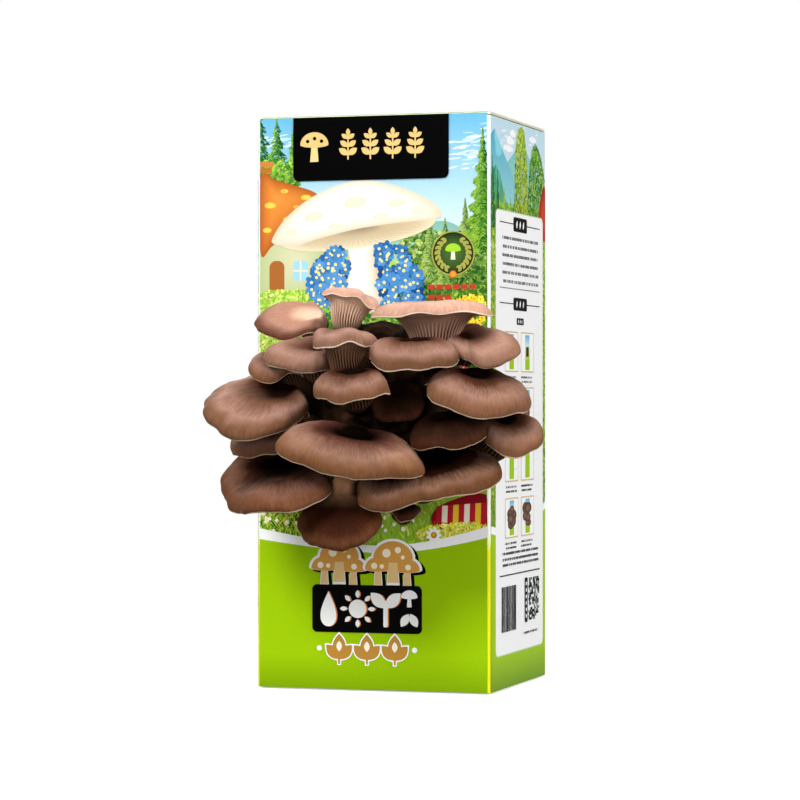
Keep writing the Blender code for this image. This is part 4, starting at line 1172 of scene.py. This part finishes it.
# back to the log, and then in over the log's face to its middle
neck_rings = []
for share in (0.0, 0.25, 0.5, 0.75, 1.0):
    ring = neck_ring.copy()
    log_face = -np.sqrt(LOG_R ** 2 - ring[:, 0] ** 2)
    ring[:, 1] = NECK_Y + (log_face - 0.1 - NECK_Y) * share
    neck_rings.append(ring)
back_rings = []
for share in (0.75, 0.5, 0.25):
    ring = neck_ring.copy()
    ring[:, 0] = WINDOW_X + (ring[:, 0] - WINDOW_X) * share
    ring[:, 2] = WINDOW_Z + (ring[:, 2] - WINDOW_Z) * share
    ring[:, 1] = -np.sqrt((LOG_R + 0.1) ** 2 - ring[:, 0] ** 2)
    back_rings.append(ring)
grid = np.concatenate([dome_part, np.array(neck_rings), np.array(back_rings)])
flat = grid.reshape(-1, 3)
outwards = (flat - BASE) / BASE_R ** 2
outwards /= np.linalg.norm(outwards, axis=1, keepdims=True)
soft = np.clip((-48.5 - flat[:, 1]) / 6.0, 0, 1)
rough = 0.5 * lumps(flat, 5, 9.0) + 0.3 * lumps(flat, 6, 4.0)
flat = flat + outwards * (soft * rough)[:, None]
ends = np.array([[BASE[0], BASE[1] - BASE_R[1], BASE[2]], [WINDOW_X, -LOG_R + 0.1, WINDOW_Z]])
rows = len(grid)
first_fan = fan(len(flat), np.arange(AROUND_BASE))
last_fan = fan(len(flat) + 1, np.arange(AROUND_BASE) + (rows - 1) * AROUND_BASE, flipped=True)
knot = piece_from("tissue_knot", np.vstack([flat, ends]),
                  [ring_faces(rows, AROUND_BASE), np.concatenate([first_fan, last_fan])], tissue)
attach(knot, "carton")
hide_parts("cluster_base")


# ---- Clump: the mushrooms --------------------------------------------------
# Oyster mushrooms: fleshy fan-shaped caps that grow sideways on short stems,
# with gills running down the stem.  The skin is smooth and satin with fine
# fibres from the stem to a thin pale rim.  It is darker where the cap dips,
# partly its own colour and partly painted shade, with a painted highlight on
# the shoulder and painted shade between the gills and down the stems.
def cap_frame(heading, pitch, roll):
    """Side, forward and up of a cap: heading from -Y to +X, pitch and roll down."""
    h, p, r = (math.radians(angle) for angle in (heading, pitch, roll))
    forward = np.array([math.sin(h) * math.cos(p), -math.cos(h) * math.cos(p), -math.sin(p)])
    up = np.array([math.sin(h) * math.sin(p), -math.cos(h) * math.sin(p), math.cos(p)])
    side = np.cross(forward, up)
    return np.stack([side * math.cos(r) - up * math.sin(r), forward,
                     up * math.cos(r) + side * math.sin(r)], 1)


def cap_reach(form, theta, waves):
    """Stem to rim: an ellipse set forward of the stem, times lobes, a nick, tips and a neck."""
    along = (form["ahead"] + form["behind"]) / 2
    shift = (form["ahead"] - form["behind"]) / 2
    c, s = np.cos(theta), np.sin(theta)
    qa = (c / along) ** 2 + (s / form["half"]) ** 2
    qb = -2 * shift * c / along ** 2
    qc = (shift / along) ** 2 - 1
    reach = (-qb + np.sqrt(qb * qb - 4 * qa * qc)) / (2 * qa)
    reach *= 1 + 0.035 * np.cos(2 * theta + waves[0]) + 0.03 * np.cos(3 * theta + waves[1]) \
        + 0.02 * np.cos(5 * theta + waves[2])
    if form["nick"]:
        away = np.angle(np.exp(1j * (theta - math.radians(form["nick"][0]))))
        reach *= 1 - form["nick"][1] * np.exp(-(away / 0.10) ** 2)
    for at, gain, width in form["tips"]:
        away = np.angle(np.exp(1j * (theta - math.radians(at))))
        reach *= 1 + gain * np.exp(-np.abs(away / width) ** 1.3)
    if form["neck"]:
        away = np.angle(np.exp(1j * (theta - np.pi)))
        reach *= 1 + form["neck"][0] * np.exp(-(away / form["neck"][1]) ** 2)
    # small uneven scallops along the rim
    return reach * (1 + 0.010 * np.cos(11 * theta + waves[3]) + 0.007 * np.cos(17 * theta + waves[4])
                    + 0.005 * np.cos(29 * theta + waves[5]))


def arch(form, angle):
    """Cap profile: share of reach sin(angle)^(2/p) and drop crown (1 - cos angle)."""
    top = min(form["curl"], 90.0)
    widest = math.sin(math.radians(top)) ** (2 / form["roll_power"])
    drop = form["crown"] * (1 - np.cos(angle)) / (1 - math.cos(math.radians(form["curl"])))
    return np.sin(angle) ** (2 / form["roll_power"]) / widest, drop


def cap_skin(form, reach, theta, angle, waves):
    """Upper skin: the arch, a dip over the stem, a tail behind it, rim waves and a lifted side."""
    rho, drop = arch(form, angle)
    x = rho * reach * np.sin(theta)
    y = rho * reach * np.cos(theta)
    z = form["dip"] * (1 - np.exp(-(rho / form["dip_width"]) ** 2)) - drop
    z = z - form["tail"] * np.where(y < 0, (y / form["behind"]) ** 2, 0.0)
    z = z + rho ** 3 * (np.cos(3 * theta + waves[3]) + 0.7 * np.cos(4 * theta + waves[4])
                        + 0.5 * np.cos(7 * theta + waves[5]))
    if form["rise"]:
        away = np.angle(np.exp(1j * (theta - math.radians(form["rise"][0]))))
        z = z + form["rise"][1] * rho ** 2 * np.exp(-(away / form["rise"][2]) ** 2)
    return np.stack([x, y, z], -1)


def normals_of(grid):
    """Outward unit normals of a grid of rings, by central differences."""
    down = np.gradient(grid, axis=0)
    round_ = (np.roll(grid, -1, 1) - np.roll(grid, 1, 1)) / 2
    cross = np.cross(round_, down)
    return cross / (np.linalg.norm(cross, axis=-1, keepdims=True) + 1e-9)


def grow(form, spot, turn, root_xz):
    """Rings of points over the cap, round the rim, in along the gills, down the stem."""
    around = form["gills"] * 4
    theta = np.linspace(0.0, 2 * np.pi, around, endpoint=False)
    waves = np.random.default_rng(form["seed"]).uniform(0, 2 * np.pi, 6)
    reach = cap_reach(form, theta, waves)
    to_world = cap_frame(*turn)
    u, w = (root_xz[0] - BASE[0]) / BASE_R[0], (root_xz[1] - BASE[2]) / BASE_R[2]
    v = -math.sqrt(1 - u * u - w * w)
    out = np.array([u, v, w]) / BASE_R
    out /= np.linalg.norm(out)
    root = to_world.T @ (BASE + np.array([u, v, w]) * BASE_R - 2.0 * out - np.array(spot))
    out = to_world.T @ out

    angle = np.linspace(0, math.radians(form["curl"]), form["top_rings"] + 1)[1:, None]
    rho = arch(form, angle)[0]
    top = cap_skin(form, reach, theta, angle, waves)
    # slow dents in the skin, fading towards the stem and the rim
    dents = lumps(top.reshape(-1, 3), form["seed"] + 40, 15.0).reshape(top.shape[:2])
    fine = lumps(top.reshape(-1, 3), form["seed"] + 70, 5.0).reshape(top.shape[:2])
    outward = np.stack([np.sin(theta), np.cos(theta), np.zeros(around)], -1)
    top += normals_of(top) * ((0.45 * dents + 0.1 * fine) * np.sin(np.pi * angle / angle[-1]))[..., None]
    step = np.linalg.norm(np.diff(top, axis=0, prepend=np.zeros((1, around, 3))), axis=-1)
    skin_zone = np.cumsum(step, axis=0) / step.sum(axis=0)

    # the rim turns over a round lip as thick as the edge
    edge = form["edge"]
    ahead_of = top[-1] - top[-2]
    ahead_of /= np.linalg.norm(ahead_of, axis=1, keepdims=True)
    off = normals_of(top[-2:])[-1]
    roll = np.linspace(0, np.pi, 7)[1:, None]
    lip = off * np.cos(roll)[..., None] + ahead_of * np.sin(roll)[..., None]
    lip = top[-1] - off * edge / 2 + edge / 2 * lip

    stem_top = form["stem"] * 1.25
    inner = np.minimum(stem_top, 0.72 * reach)
    share = (np.linspace(0, 1, form["under_rings"] + 1)[1:, None]) ** 1.15
    start_r = np.hypot(lip[-1][:, 0], lip[-1][:, 1])
    radius = start_r + (inner - start_r) * share
    rho_under = radius / reach
    widest = math.sin(math.radians(min(form["curl"], 90.0))) ** (2 / form["roll_power"])
    above = np.arcsin(np.clip(rho_under * widest, 0, 1) ** (form["roll_power"] / 2))
    under = cap_skin(form, reach, theta, above, waves)
    under[..., 2] -= edge + (form["thick"] - edge) * (1 - rho_under).clip(0) ** 0.8
    under[..., 2] -= form["flare"] * np.exp(-(radius - stem_top) / (0.22 * form["half"]))
    ease = np.clip(share / 0.2, 0, 1)
    ease = ease * ease * (3 - 2 * ease)
    under[..., 2] = lip[-1][:, 2] * (1 - ease) + under[..., 2] * ease

    mouth = under[-1]
    start = mouth.mean(axis=0)
    span = np.linalg.norm(start - root)
    leave = math.radians(form["lean"])
    first = start + span * form["bend"] * np.array([0.0, -math.sin(leave), -math.cos(leave)])
    second = root + out * span * 0.45
    t = np.linspace(0, 1, form["stem_rings"] + 1)[1:, None]
    # the stem's middle is a Bezier curve from the cap to the root, and along is its slope
    s = 1 - t
    centre = s ** 3 * start + 3 * s ** 2 * t * first + 3 * s * t * t * second + t ** 3 * root
    along = 3 * s ** 2 * (first - start) + 6 * s * t * (second - first) + 3 * t * t * (root - second)
    along /= np.linalg.norm(along, axis=1, keepdims=True)
    down = np.array([0.0, 0.0, -1.0])
    axis = np.cross(down, along)
    cosine = along @ down
    turned = outward[None] * cosine[:, None, None] + np.cross(axis[:, None], outward[None]) \
        + (axis @ outward.T)[..., None] * axis[:, None] / (1 + cosine + 1e-9)[:, None, None]
    thickness = form["stem"] * (1.25 - 0.25 * np.minimum(1.0, 2.5 * t) + 0.15 * t)
    spare = (mouth - start) - stem_top * outward
    stem = centre[:, None] + thickness[..., None] * turned + spare[None] * np.exp(-(t / 0.22) ** 2)[..., None]

    grid = np.concatenate([under, stem])
    normal = normals_of(grid)
    # long gills reach down the stem, and every second one stops half way in
    count = form["gills"]
    long_gill = (0.5 + 0.5 * np.cos(count / 2 * theta + 0.6)) ** 1.5
    short_gill = (0.5 - 0.5 * np.cos(count / 2 * theta + 0.6)) ** 1.5
    rim_fade = np.clip((share - 0.02) / 0.12, 0, 1)
    inward = np.clip((0.72 - rho_under) / 0.25, 0, 1)
    blade = rim_fade * (long_gill + short_gill * (1 - inward))
    run_down = np.exp(-(t / form["run_down"]) ** 2)
    ribs = np.concatenate([blade, run_down * long_gill[None]])
    depth = form["gill_depth"] * np.concatenate([0.55 + 0.45 * share, np.ones_like(t)])
    grid = grid + normal * (ribs * depth - 0.35 * depth)[..., None]
    stem_grid = grid[len(under):]
    grain = lumps(stem_grid.reshape(-1, 3), form["seed"] + 11, 7.0).reshape(stem_grid.shape[:2])
    grid[len(under):] += normal[len(under):] * (0.3 * grain * np.clip(t * 3, 0, 1))[..., None]

    rings = np.concatenate([top, lip, grid])
    zone = np.concatenate([skin_zone, np.broadcast_to(1 + 0.1 * roll / np.pi, lip.shape[:2]),
                           np.broadcast_to(1.1 + 0.9 * share, under.shape[:2]),
                           2 + np.broadcast_to(t, stem.shape[:2])])
    rib_of = np.concatenate([np.ones(top.shape[:2]), np.ones(lip.shape[:2]), ribs.clip(0, 1)])
    return rings, zone, rib_of, theta, to_world


def mushroom(name, look, spot, turn, root_xz, size, **own):
    """Build one mushroom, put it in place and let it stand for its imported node."""
    # size is half the cap's width and its reach ahead of and behind the stem.
    # crown is how far the arch drops, dip how deep its hollow over the stem is, tail
    # its drop behind, thick the flesh, flare how far the gills hang at the stem, lean
    # and bend how the stem leaves the cap; rise, nick, neck and tips shape the rim.
    form = {"half": size[0], "ahead": size[1], "behind": size[2], "crown": 8.0, "dip": 3.0,
            "dip_width": 0.38, "roll_power": 2.8, "tail": 0.0, "thick": 6.0, "flare": 6.0,
            "stem": 6.0, "edge": 1.15, "lean": 50.0, "bend": 0.2, "nick": None, "gills": 60,
            "gill_depth": 0.8, "run_down": 0.3, "curl": 97.0, "rise": None, "neck": None, "tips": (),
            "top_rings": 42, "under_rings": 26, "stem_rings": 18}
    form.update(own)
    form["seed"] = int(name[-2:])
    rings, zone, rib, theta, to_world = grow(form, spot, turn, root_xz)
    count, around = rings.shape[:2]
    points = rings.reshape(-1, 3) @ to_world.T + spot
    middle = np.array(spot, float)
    foot = points[-around:].mean(axis=0)
    fans = np.concatenate([fan(len(points), np.arange(around), flipped=True),
                           fan(len(points) + 1, np.arange(around) + (count - 1) * around)])
    quads = ring_faces(count, around)[:, ::-1]
    fibre = np.stack([np.broadcast_to(np.cos(theta), zone.shape), np.broadcast_to(np.sin(theta), zone.shape),
                      zone], -1).reshape(-1, 3)
    made = piece_from(name + "_grown", np.vstack([points, middle, foot]), [quads, fans], LOOKS[look],
                      fibre=np.vstack([fibre, [[0, 0, 0], [0, 0, 3]]]),
                      zone=np.concatenate([zone.ravel(), [0.0, 3.0]]),
                      rib=np.concatenate([rib.ravel(), [1.0, 0.0]]))
    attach(made, "carton")
    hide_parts(name)
    return made


def wander_down(tree, zone, streak):
    """Share of the way down the stem, blurred by the fibres."""
    down = add(tree, "Math", {"operation": "SUBTRACT"}, {1: 2.15}, {0: zone.outputs["Fac"]})
    blurred = add(tree, "Math", {"operation": "MULTIPLY_ADD"}, {1: 0.3},
                  {0: streak.outputs["Fac"], 2: down.outputs[0]})
    return blurred.outputs[0]


def cap_flesh(name, heart, shade, shoulder, margin, rim, gill_deep, gill_edge, dark_to=0.32,
              neck=None):
    """Mushroom skin: colours from the stem out to the rim, then gills and stem, with painted shade and a
    painted highlight among them.
    """
    made, tree, shader = new_finish(name, Roughness=0.48, IOR=1.4, Specular_IOR_Level=0.02)
    fibre = add(tree, "Attribute", {"attribute_name": "fibre"})
    zone = add(tree, "Attribute", {"attribute_name": "zone"})
    rib = add(tree, "Attribute", {"attribute_name": "rib"})
    place = add(tree, "TexCoord").outputs["Object"]
    # fibres about 0.3 mm apart at mid-cap, running from the stem to the rim
    stretch = add(tree, "Mapping", None, {"Scale": (50.0, 50.0, 8.0)}, {"Vector": fibre.outputs["Vector"]})
    streak = add(tree, "TexNoise", None, {"Scale": 1.0, "Detail": 5.0, "Roughness": 0.65, "Distortion": 0.15},
                 {"Vector": stretch.outputs[0]})
    patch = add(tree, "TexNoise", None, {"Scale": 110.0, "Detail": 4.0}, {"Vector": place})
    wander = add(tree, "Math", {"operation": "MULTIPLY_ADD"}, {1: 0.2, 2: -0.1}, {0: patch.outputs["Fac"]})
    wobble = add(tree, "Math", {"operation": "MULTIPLY_ADD"}, {1: 0.16, 2: -0.08}, {0: streak.outputs["Fac"]})
    moved = add(tree, "Math", {"operation": "ADD"}, None, {0: zone.outputs["Fac"], 1: wander.outputs[0]})
    moved = add(tree, "Math", {"operation": "ADD"}, None, {0: moved.outputs[0], 1: wobble.outputs[0]})
    # the heart's near-black is partly the cap's darker middle and partly painted shade where the cap dips to
    # the stem; the lighter shoulder is partly a painted highlight, and the darker margin partly painted shade
    # where it turns under
    skin = add(tree, "ValToRGB", None, None, {0: moved.outputs[0]},
               ((dark_to, rgba(heart)), (dark_to + 0.3 * (1 - dark_to), rgba(shade)),
                (dark_to + 0.64 * (1 - dark_to), rgba(shoulder)), (0.88, rgba(margin))))
    tinted = skin.outputs[0]
    if neck:
        # painted light on the neck behind the cap, which lies in the shade of the cap above: far back along
        # its middle line, and near that line
        where = add(tree, "SeparateXYZ", links={0: fibre.outputs["Vector"]})
        shares = []
        for axis, start, full in (("X", 0.28, -0.42), ("Y", 0.55, 0.18)):
            across = add(tree, "Math", {"operation": "MULTIPLY"}, None,
                         {0: where.outputs[axis], 1: zone.outputs["Fac"]}).outputs[0]
            if axis == "Y":
                across = add(tree, "Math", {"operation": "ABSOLUTE"}, None, {0: across}).outputs[0]
            shares.append(add(tree, "MapRange", {"interpolation_type": "SMOOTHSTEP"},
                              {"From Min": start, "From Max": full}, {"Value": across}))
        behind = add(tree, "Math", {"operation": "MULTIPLY"}, None,
                     {0: shares[0].outputs[0], 1: shares[1].outputs[0]})
        tinted = add(tree, "Mix", {"data_type": "RGBA"}, {7: rgba(neck)},
                     {0: behind.outputs[0], 6: tinted}).outputs[2]
    grey = add(tree, "ValToRGB", None, None, {0: streak.outputs["Fac"]},
               ((0.3, (0.68, 0.65, 0.63, 1)), (0.7, (1.22, 1.2, 1.17, 1))))
    streaked = add(tree, "Mix", {"data_type": "RGBA", "blend_type": "MULTIPLY"}, {0: 0.8},
                   {6: tinted, 7: grey.outputs[0]})
    # where along the grown surface the rim's line, the gills and the stem take over
    rim_line, is_lower, is_stalk = (
        add(tree, "MapRange", {"interpolation_type": "SMOOTHSTEP"}, {"From Min": start, "From Max": full},
            {"Value": zone.outputs["Fac"]})
        for start, full in ((0.985, 1.0), (1.06, 1.13), (2.05, 2.5)))
    rimmed = add(tree, "Mix", {"data_type": "RGBA"}, {7: rgba(rim)},
                 {0: rim_line.outputs[0], 6: streaked.outputs[2]})
    # the dark colour between the gills is painted shade in the hollows; the gill edges keep their own colour
    blade = add(tree, "Mix", {"data_type": "RGBA"}, {6: rgba(gill_deep), 7: rgba(gill_edge)},
                {0: rib.outputs["Fac"]})
    # down the stem the colour darkens to near black: painted shade in the hollow of the clump
    stalk = add(tree, "ValToRGB", None, None, {0: wander_down(tree, zone, streak)},
                ((0.1, rgba(gill_edge)), (0.4, rgba("#453022")), (0.75, rgba("#1d120c"))))
    lower = add(tree, "Mix", {"data_type": "RGBA"}, None,
                {0: is_stalk.outputs[0], 6: blade.outputs[2], 7: stalk.outputs[0]})
    whole = add(tree, "Mix", {"data_type": "RGBA"}, None,
                {0: is_lower.outputs[0], 6: rimmed.outputs[2], 7: lower.outputs[2]})
    pores = add(tree, "TexNoise", None, {"Scale": 2200.0, "Detail": 2.0}, {"Vector": place})
    nap = add(tree, "Bump", None, {"Strength": 0.25, "Distance": 0.0001}, {"Height": pores.outputs["Fac"]})
    combed = add(tree, "Bump", None, {"Strength": 0.5, "Distance": 0.0002},
                 {"Height": streak.outputs["Fac"], "Normal": nap.outputs[0]})
    sheen = add(tree, "MapRange", None, {"To Min": 0.38, "To Max": 0.6}, {"Value": patch.outputs["Fac"]})
    tree.links.new(whole.outputs[2], shader.inputs["Base Color"])
    tree.links.new(sheen.outputs[0], shader.inputs["Roughness"])
    tree.links.new(combed.outputs[0], shader.inputs["Normal"])
    return made


# colours of heart, shade, shoulder, margin, rim, between the gills and on their
# edges, then how far out from the stem the heart's colour holds.  The looks are
# partly lit and shaded copies of one skin: the lighter ones on the upper caps
# carry painted light, and the darker ones deep in the clump carry painted shade.
LOOKS = {
    # the upper caps: lighter all over, partly painted light
    "pale": cap_flesh("pale_oyster_skin", "#7a5646", "#a67d6d", "#cba391", "#bd9480", "#ecd2ba",
                      "#25120a", "#b28a74", 0.15),
    # the pale look with painted light on the gills, for the front cap
    "young": cap_flesh("pale_oyster_skin_lit_gills", "#7a5646", "#a67d6d", "#cba391", "#bd9480", "#ecd2ba",
                       "#6b4632", "#efc8ab", 0.15),
    # its pale heart by the stem is a painted highlight
    "fawn": cap_flesh("fawn_oyster_skin", "#e6c2aa", "#ab7f6b", "#a17968", "#70493a", "#f0dac2",
                      "#2a170f", "#b08a72", 0.2),
    # caps lit from above: pinkish light tones as painted light, dark heart as painted shade
    "blush": cap_flesh("lit_pinkish_oyster_skin", "#24130b", "#6d4b3d", "#9f7b6c", "#83604e", "#f0dac2",
                       "#1c0f09", "#8d664f", 0.12),
    "tan": cap_flesh("tan_oyster_skin", "#180b06", "#61402f", "#997566", "#73503a", "#efd6ba",
                     "#1c0f09", "#8d664f", 0.24),
    "broad": cap_flesh("broad_oyster_skin", "#0a0402", "#56342a", "#916d5b", "#805639", "#ecd0b0",
                       "#1a0d08", "#6f4f3b", 0.2),
    "brown": cap_flesh("brown_oyster_skin", "#0a0402", "#452619", "#8e6b5b", "#805840", "#ecd0b0",
                       "#1a0d08", "#6f4f3b", 0.24),
    # the lower caps: the dark heart reaches further out as painted shade under the caps above
    "umber": cap_flesh("umber_oyster_skin", "#080302", "#33190c", "#775343", "#6c4630", "#ecd0b0",
                       "#1a0d08", "#6f4f3b", 0.34),
    "deep": cap_flesh("deep_brown_oyster_skin", "#060201", "#200d06", "#83604c", "#724b32", "#ecd0b0",
                      "#1a0d08", "#6f4f3b", 0.44),
    # caps deep inside the clump: dark all over, painted shade
    "dark": cap_flesh("dark_oyster_skin", "#0c0402", "#1a0c06", "#2f1a11", "#48291a", "#dcb898",
                      "#160b06", "#5b4030", 0.25),
    # the cap under the others: painted shade all over, with painted light on its neck
    "root": cap_flesh("shaded_oyster_skin", "#220c05", "#2c1207", "#3e1f10", "#5e3a24", "#dcb898",
                      "#1c0f09", "#6b4e39", 0.2, neck="#eab083"),
}
mushroom("mushroom_01", "young", (0, -74, 171), (10, -6, -14), (-2, 150), (12.5, 13, 10),
         crown=5, flare=8, stem=5.5, dip=2, thick=3, lean=0, gills=72, run_down=0.5,
         curl=88, edge=0.8)
mushroom("mushroom_02", "pale", (37, -77, 167), (12, 1, 1), (21, 148), (25.5, 20, 15),
         crown=6, roll_power=4, flare=15, stem=7.5, dip=1, thick=3, lean=0, bend=0.3,
         gills=96, run_down=0.5, under_rings=44, curl=88, edge=0.8)
mushroom("mushroom_03", "fawn", (-18, -70, 161.5), (-80, -2, -34), (-15, 146), (12.5, 26, 5),
         crown=6, dip=3, stem=5.5, lean=45, tail=3, flare=4, thick=4.5)
mushroom("mushroom_04", "blush", (-12, -80.5, 147.5), (-48, 8, -24), (-12, 134), (14, 25, 6),
         crown=7, dip=4, stem=6.5, lean=45, tail=4, flare=4, thick=5)
mushroom("mushroom_05", "blush", (3, -93, 153.5), (8, -2, 0), (6, 138), (14, 13, 9),
         crown=8, flare=8, dip=3, stem=5.5, lean=30, tail=1, gills=72, run_down=0.5)
mushroom("mushroom_06", "tan", (35, -98, 149.5), (17, 16, 0), (19, 134), (18, 16, 8),
         crown=11, dip=4, stem=5.5, lean=70, tail=4, flare=3, thick=4.5)
mushroom("mushroom_07", "blush", (50, -77, 153), (68, 18, 26), (31, 143), (12.5, 26, 8),
         crown=5, dip=3, stem=5.5, lean=50, tail=3, flare=4, thick=5, nick=(40, 0.15),
         tips=((-18, 0.16, 0.35),))
mushroom("mushroom_08", "brown", (-26, -81, 143.5), (-60, 8, -20), (-20, 125), (11, 18, 6),
         crown=7, dip=3, stem=5.5, lean=60, tail=3, flare=3, thick=4)
mushroom("mushroom_09", "tan", (-25, -84, 130.5), (-48, 14.5, -22), (-15, 108), (23, 38, 6),
         crown=9.5, dip=3, stem=9, lean=60, tail=5, gills=72, rise=(85, 6, 0.5))
mushroom("mushroom_10", "brown", (14, -114, 136.5), (8, 22, 2), (4, 125), (17, 15, 6),
         crown=10, dip=4, stem=5.5, lean=60, tail=4, tips=((-66, -0.12, 0.4),))
mushroom("mushroom_11", "dark", (26.3, -95, 130.2), (17, 62, 0), (16, 118), (11.2, 15, 6),
         crown=4, dip=2, stem=4.5, lean=60, tail=2, flare=3, thick=4, gills=48)
mushroom("mushroom_12", "brown", (56, -86, 136), (42, 22, -2), (29, 117), (23.5, 28, 8),
         crown=12, dip=5, stem=6.5, lean=60, tail=5, gills=72)
mushroom("mushroom_13", "brown", (66, -78, 116.5), (62, 20, 14), (31, 104), (14, 22, 7),
         crown=9, dip=5, stem=6, lean=50, tail=4)
mushroom("mushroom_14", "dark", (48, -96, 118.5), (25, 28, 12), (18, 106), (16, 16, 7),
         crown=10, dip=4, stem=5.5, lean=75, tail=4, flare=3, thick=4.5)
mushroom("mushroom_15", "brown", (-38.8, -73.6, 112.1), (-55, 20, -12), (-18, 98), (13, 17, 6),
         crown=8, dip=3, stem=4.5, lean=60, tail=3, flare=4, thick=5)
mushroom("mushroom_16", "broad", (10.5, -104, 111), (5, 29, -11), (2, 110), (29, 22, 8),
         crown=13, dip=6, stem=7.5, lean=60, tail=6, gills=80,
         tips=((-58, 0.10, 0.3),))
mushroom("mushroom_17", "umber", (-23, -87, 98), (-32, 26, -6), (-8, 93), (30, 33, 6),
         crown=9.5, dip=4, stem=6, lean=60, tail=5, gills=80, rise=(80, 5, 0.5),
         tips=((32, -0.12, 0.5), (-78, 0.16, 0.5)))
mushroom("mushroom_18", "deep", (35.5, -90, 102), (26, 28.5, 11.5), (22, 92), (30, 23, 6),
         crown=12, dip=3, stem=6.5, lean=60, tail=5, gills=80)
mushroom("mushroom_19", "root", (2, -97, 86), (5, 60, 0), (6, 96), (20.5, 24, 7),
         crown=7, dip=2, dip_width=0.5, stem=5.3, lean=75, tail=0.9, bend=0.4, gills=72,
         neck=(1.4, 0.48), tips=((95, -0.47, 0.44), (-95, -0.47, 0.44)))
mushroom("mushroom_20", "dark", (26.5, -85.5, 80), (20, 20, 0), (12, 86), (6.5, 8, 4),
         crown=4, stem=2.6, lean=40, flare=2, thick=3, gills=36)
mushroom("mushroom_21", "dark", (40.5, -75.5, 136.8), (38, 6, 4), (32, 129), (9.5, 10, 6),
         crown=5, stem=3.5, lean=50, flare=3, thick=4, gills=40)
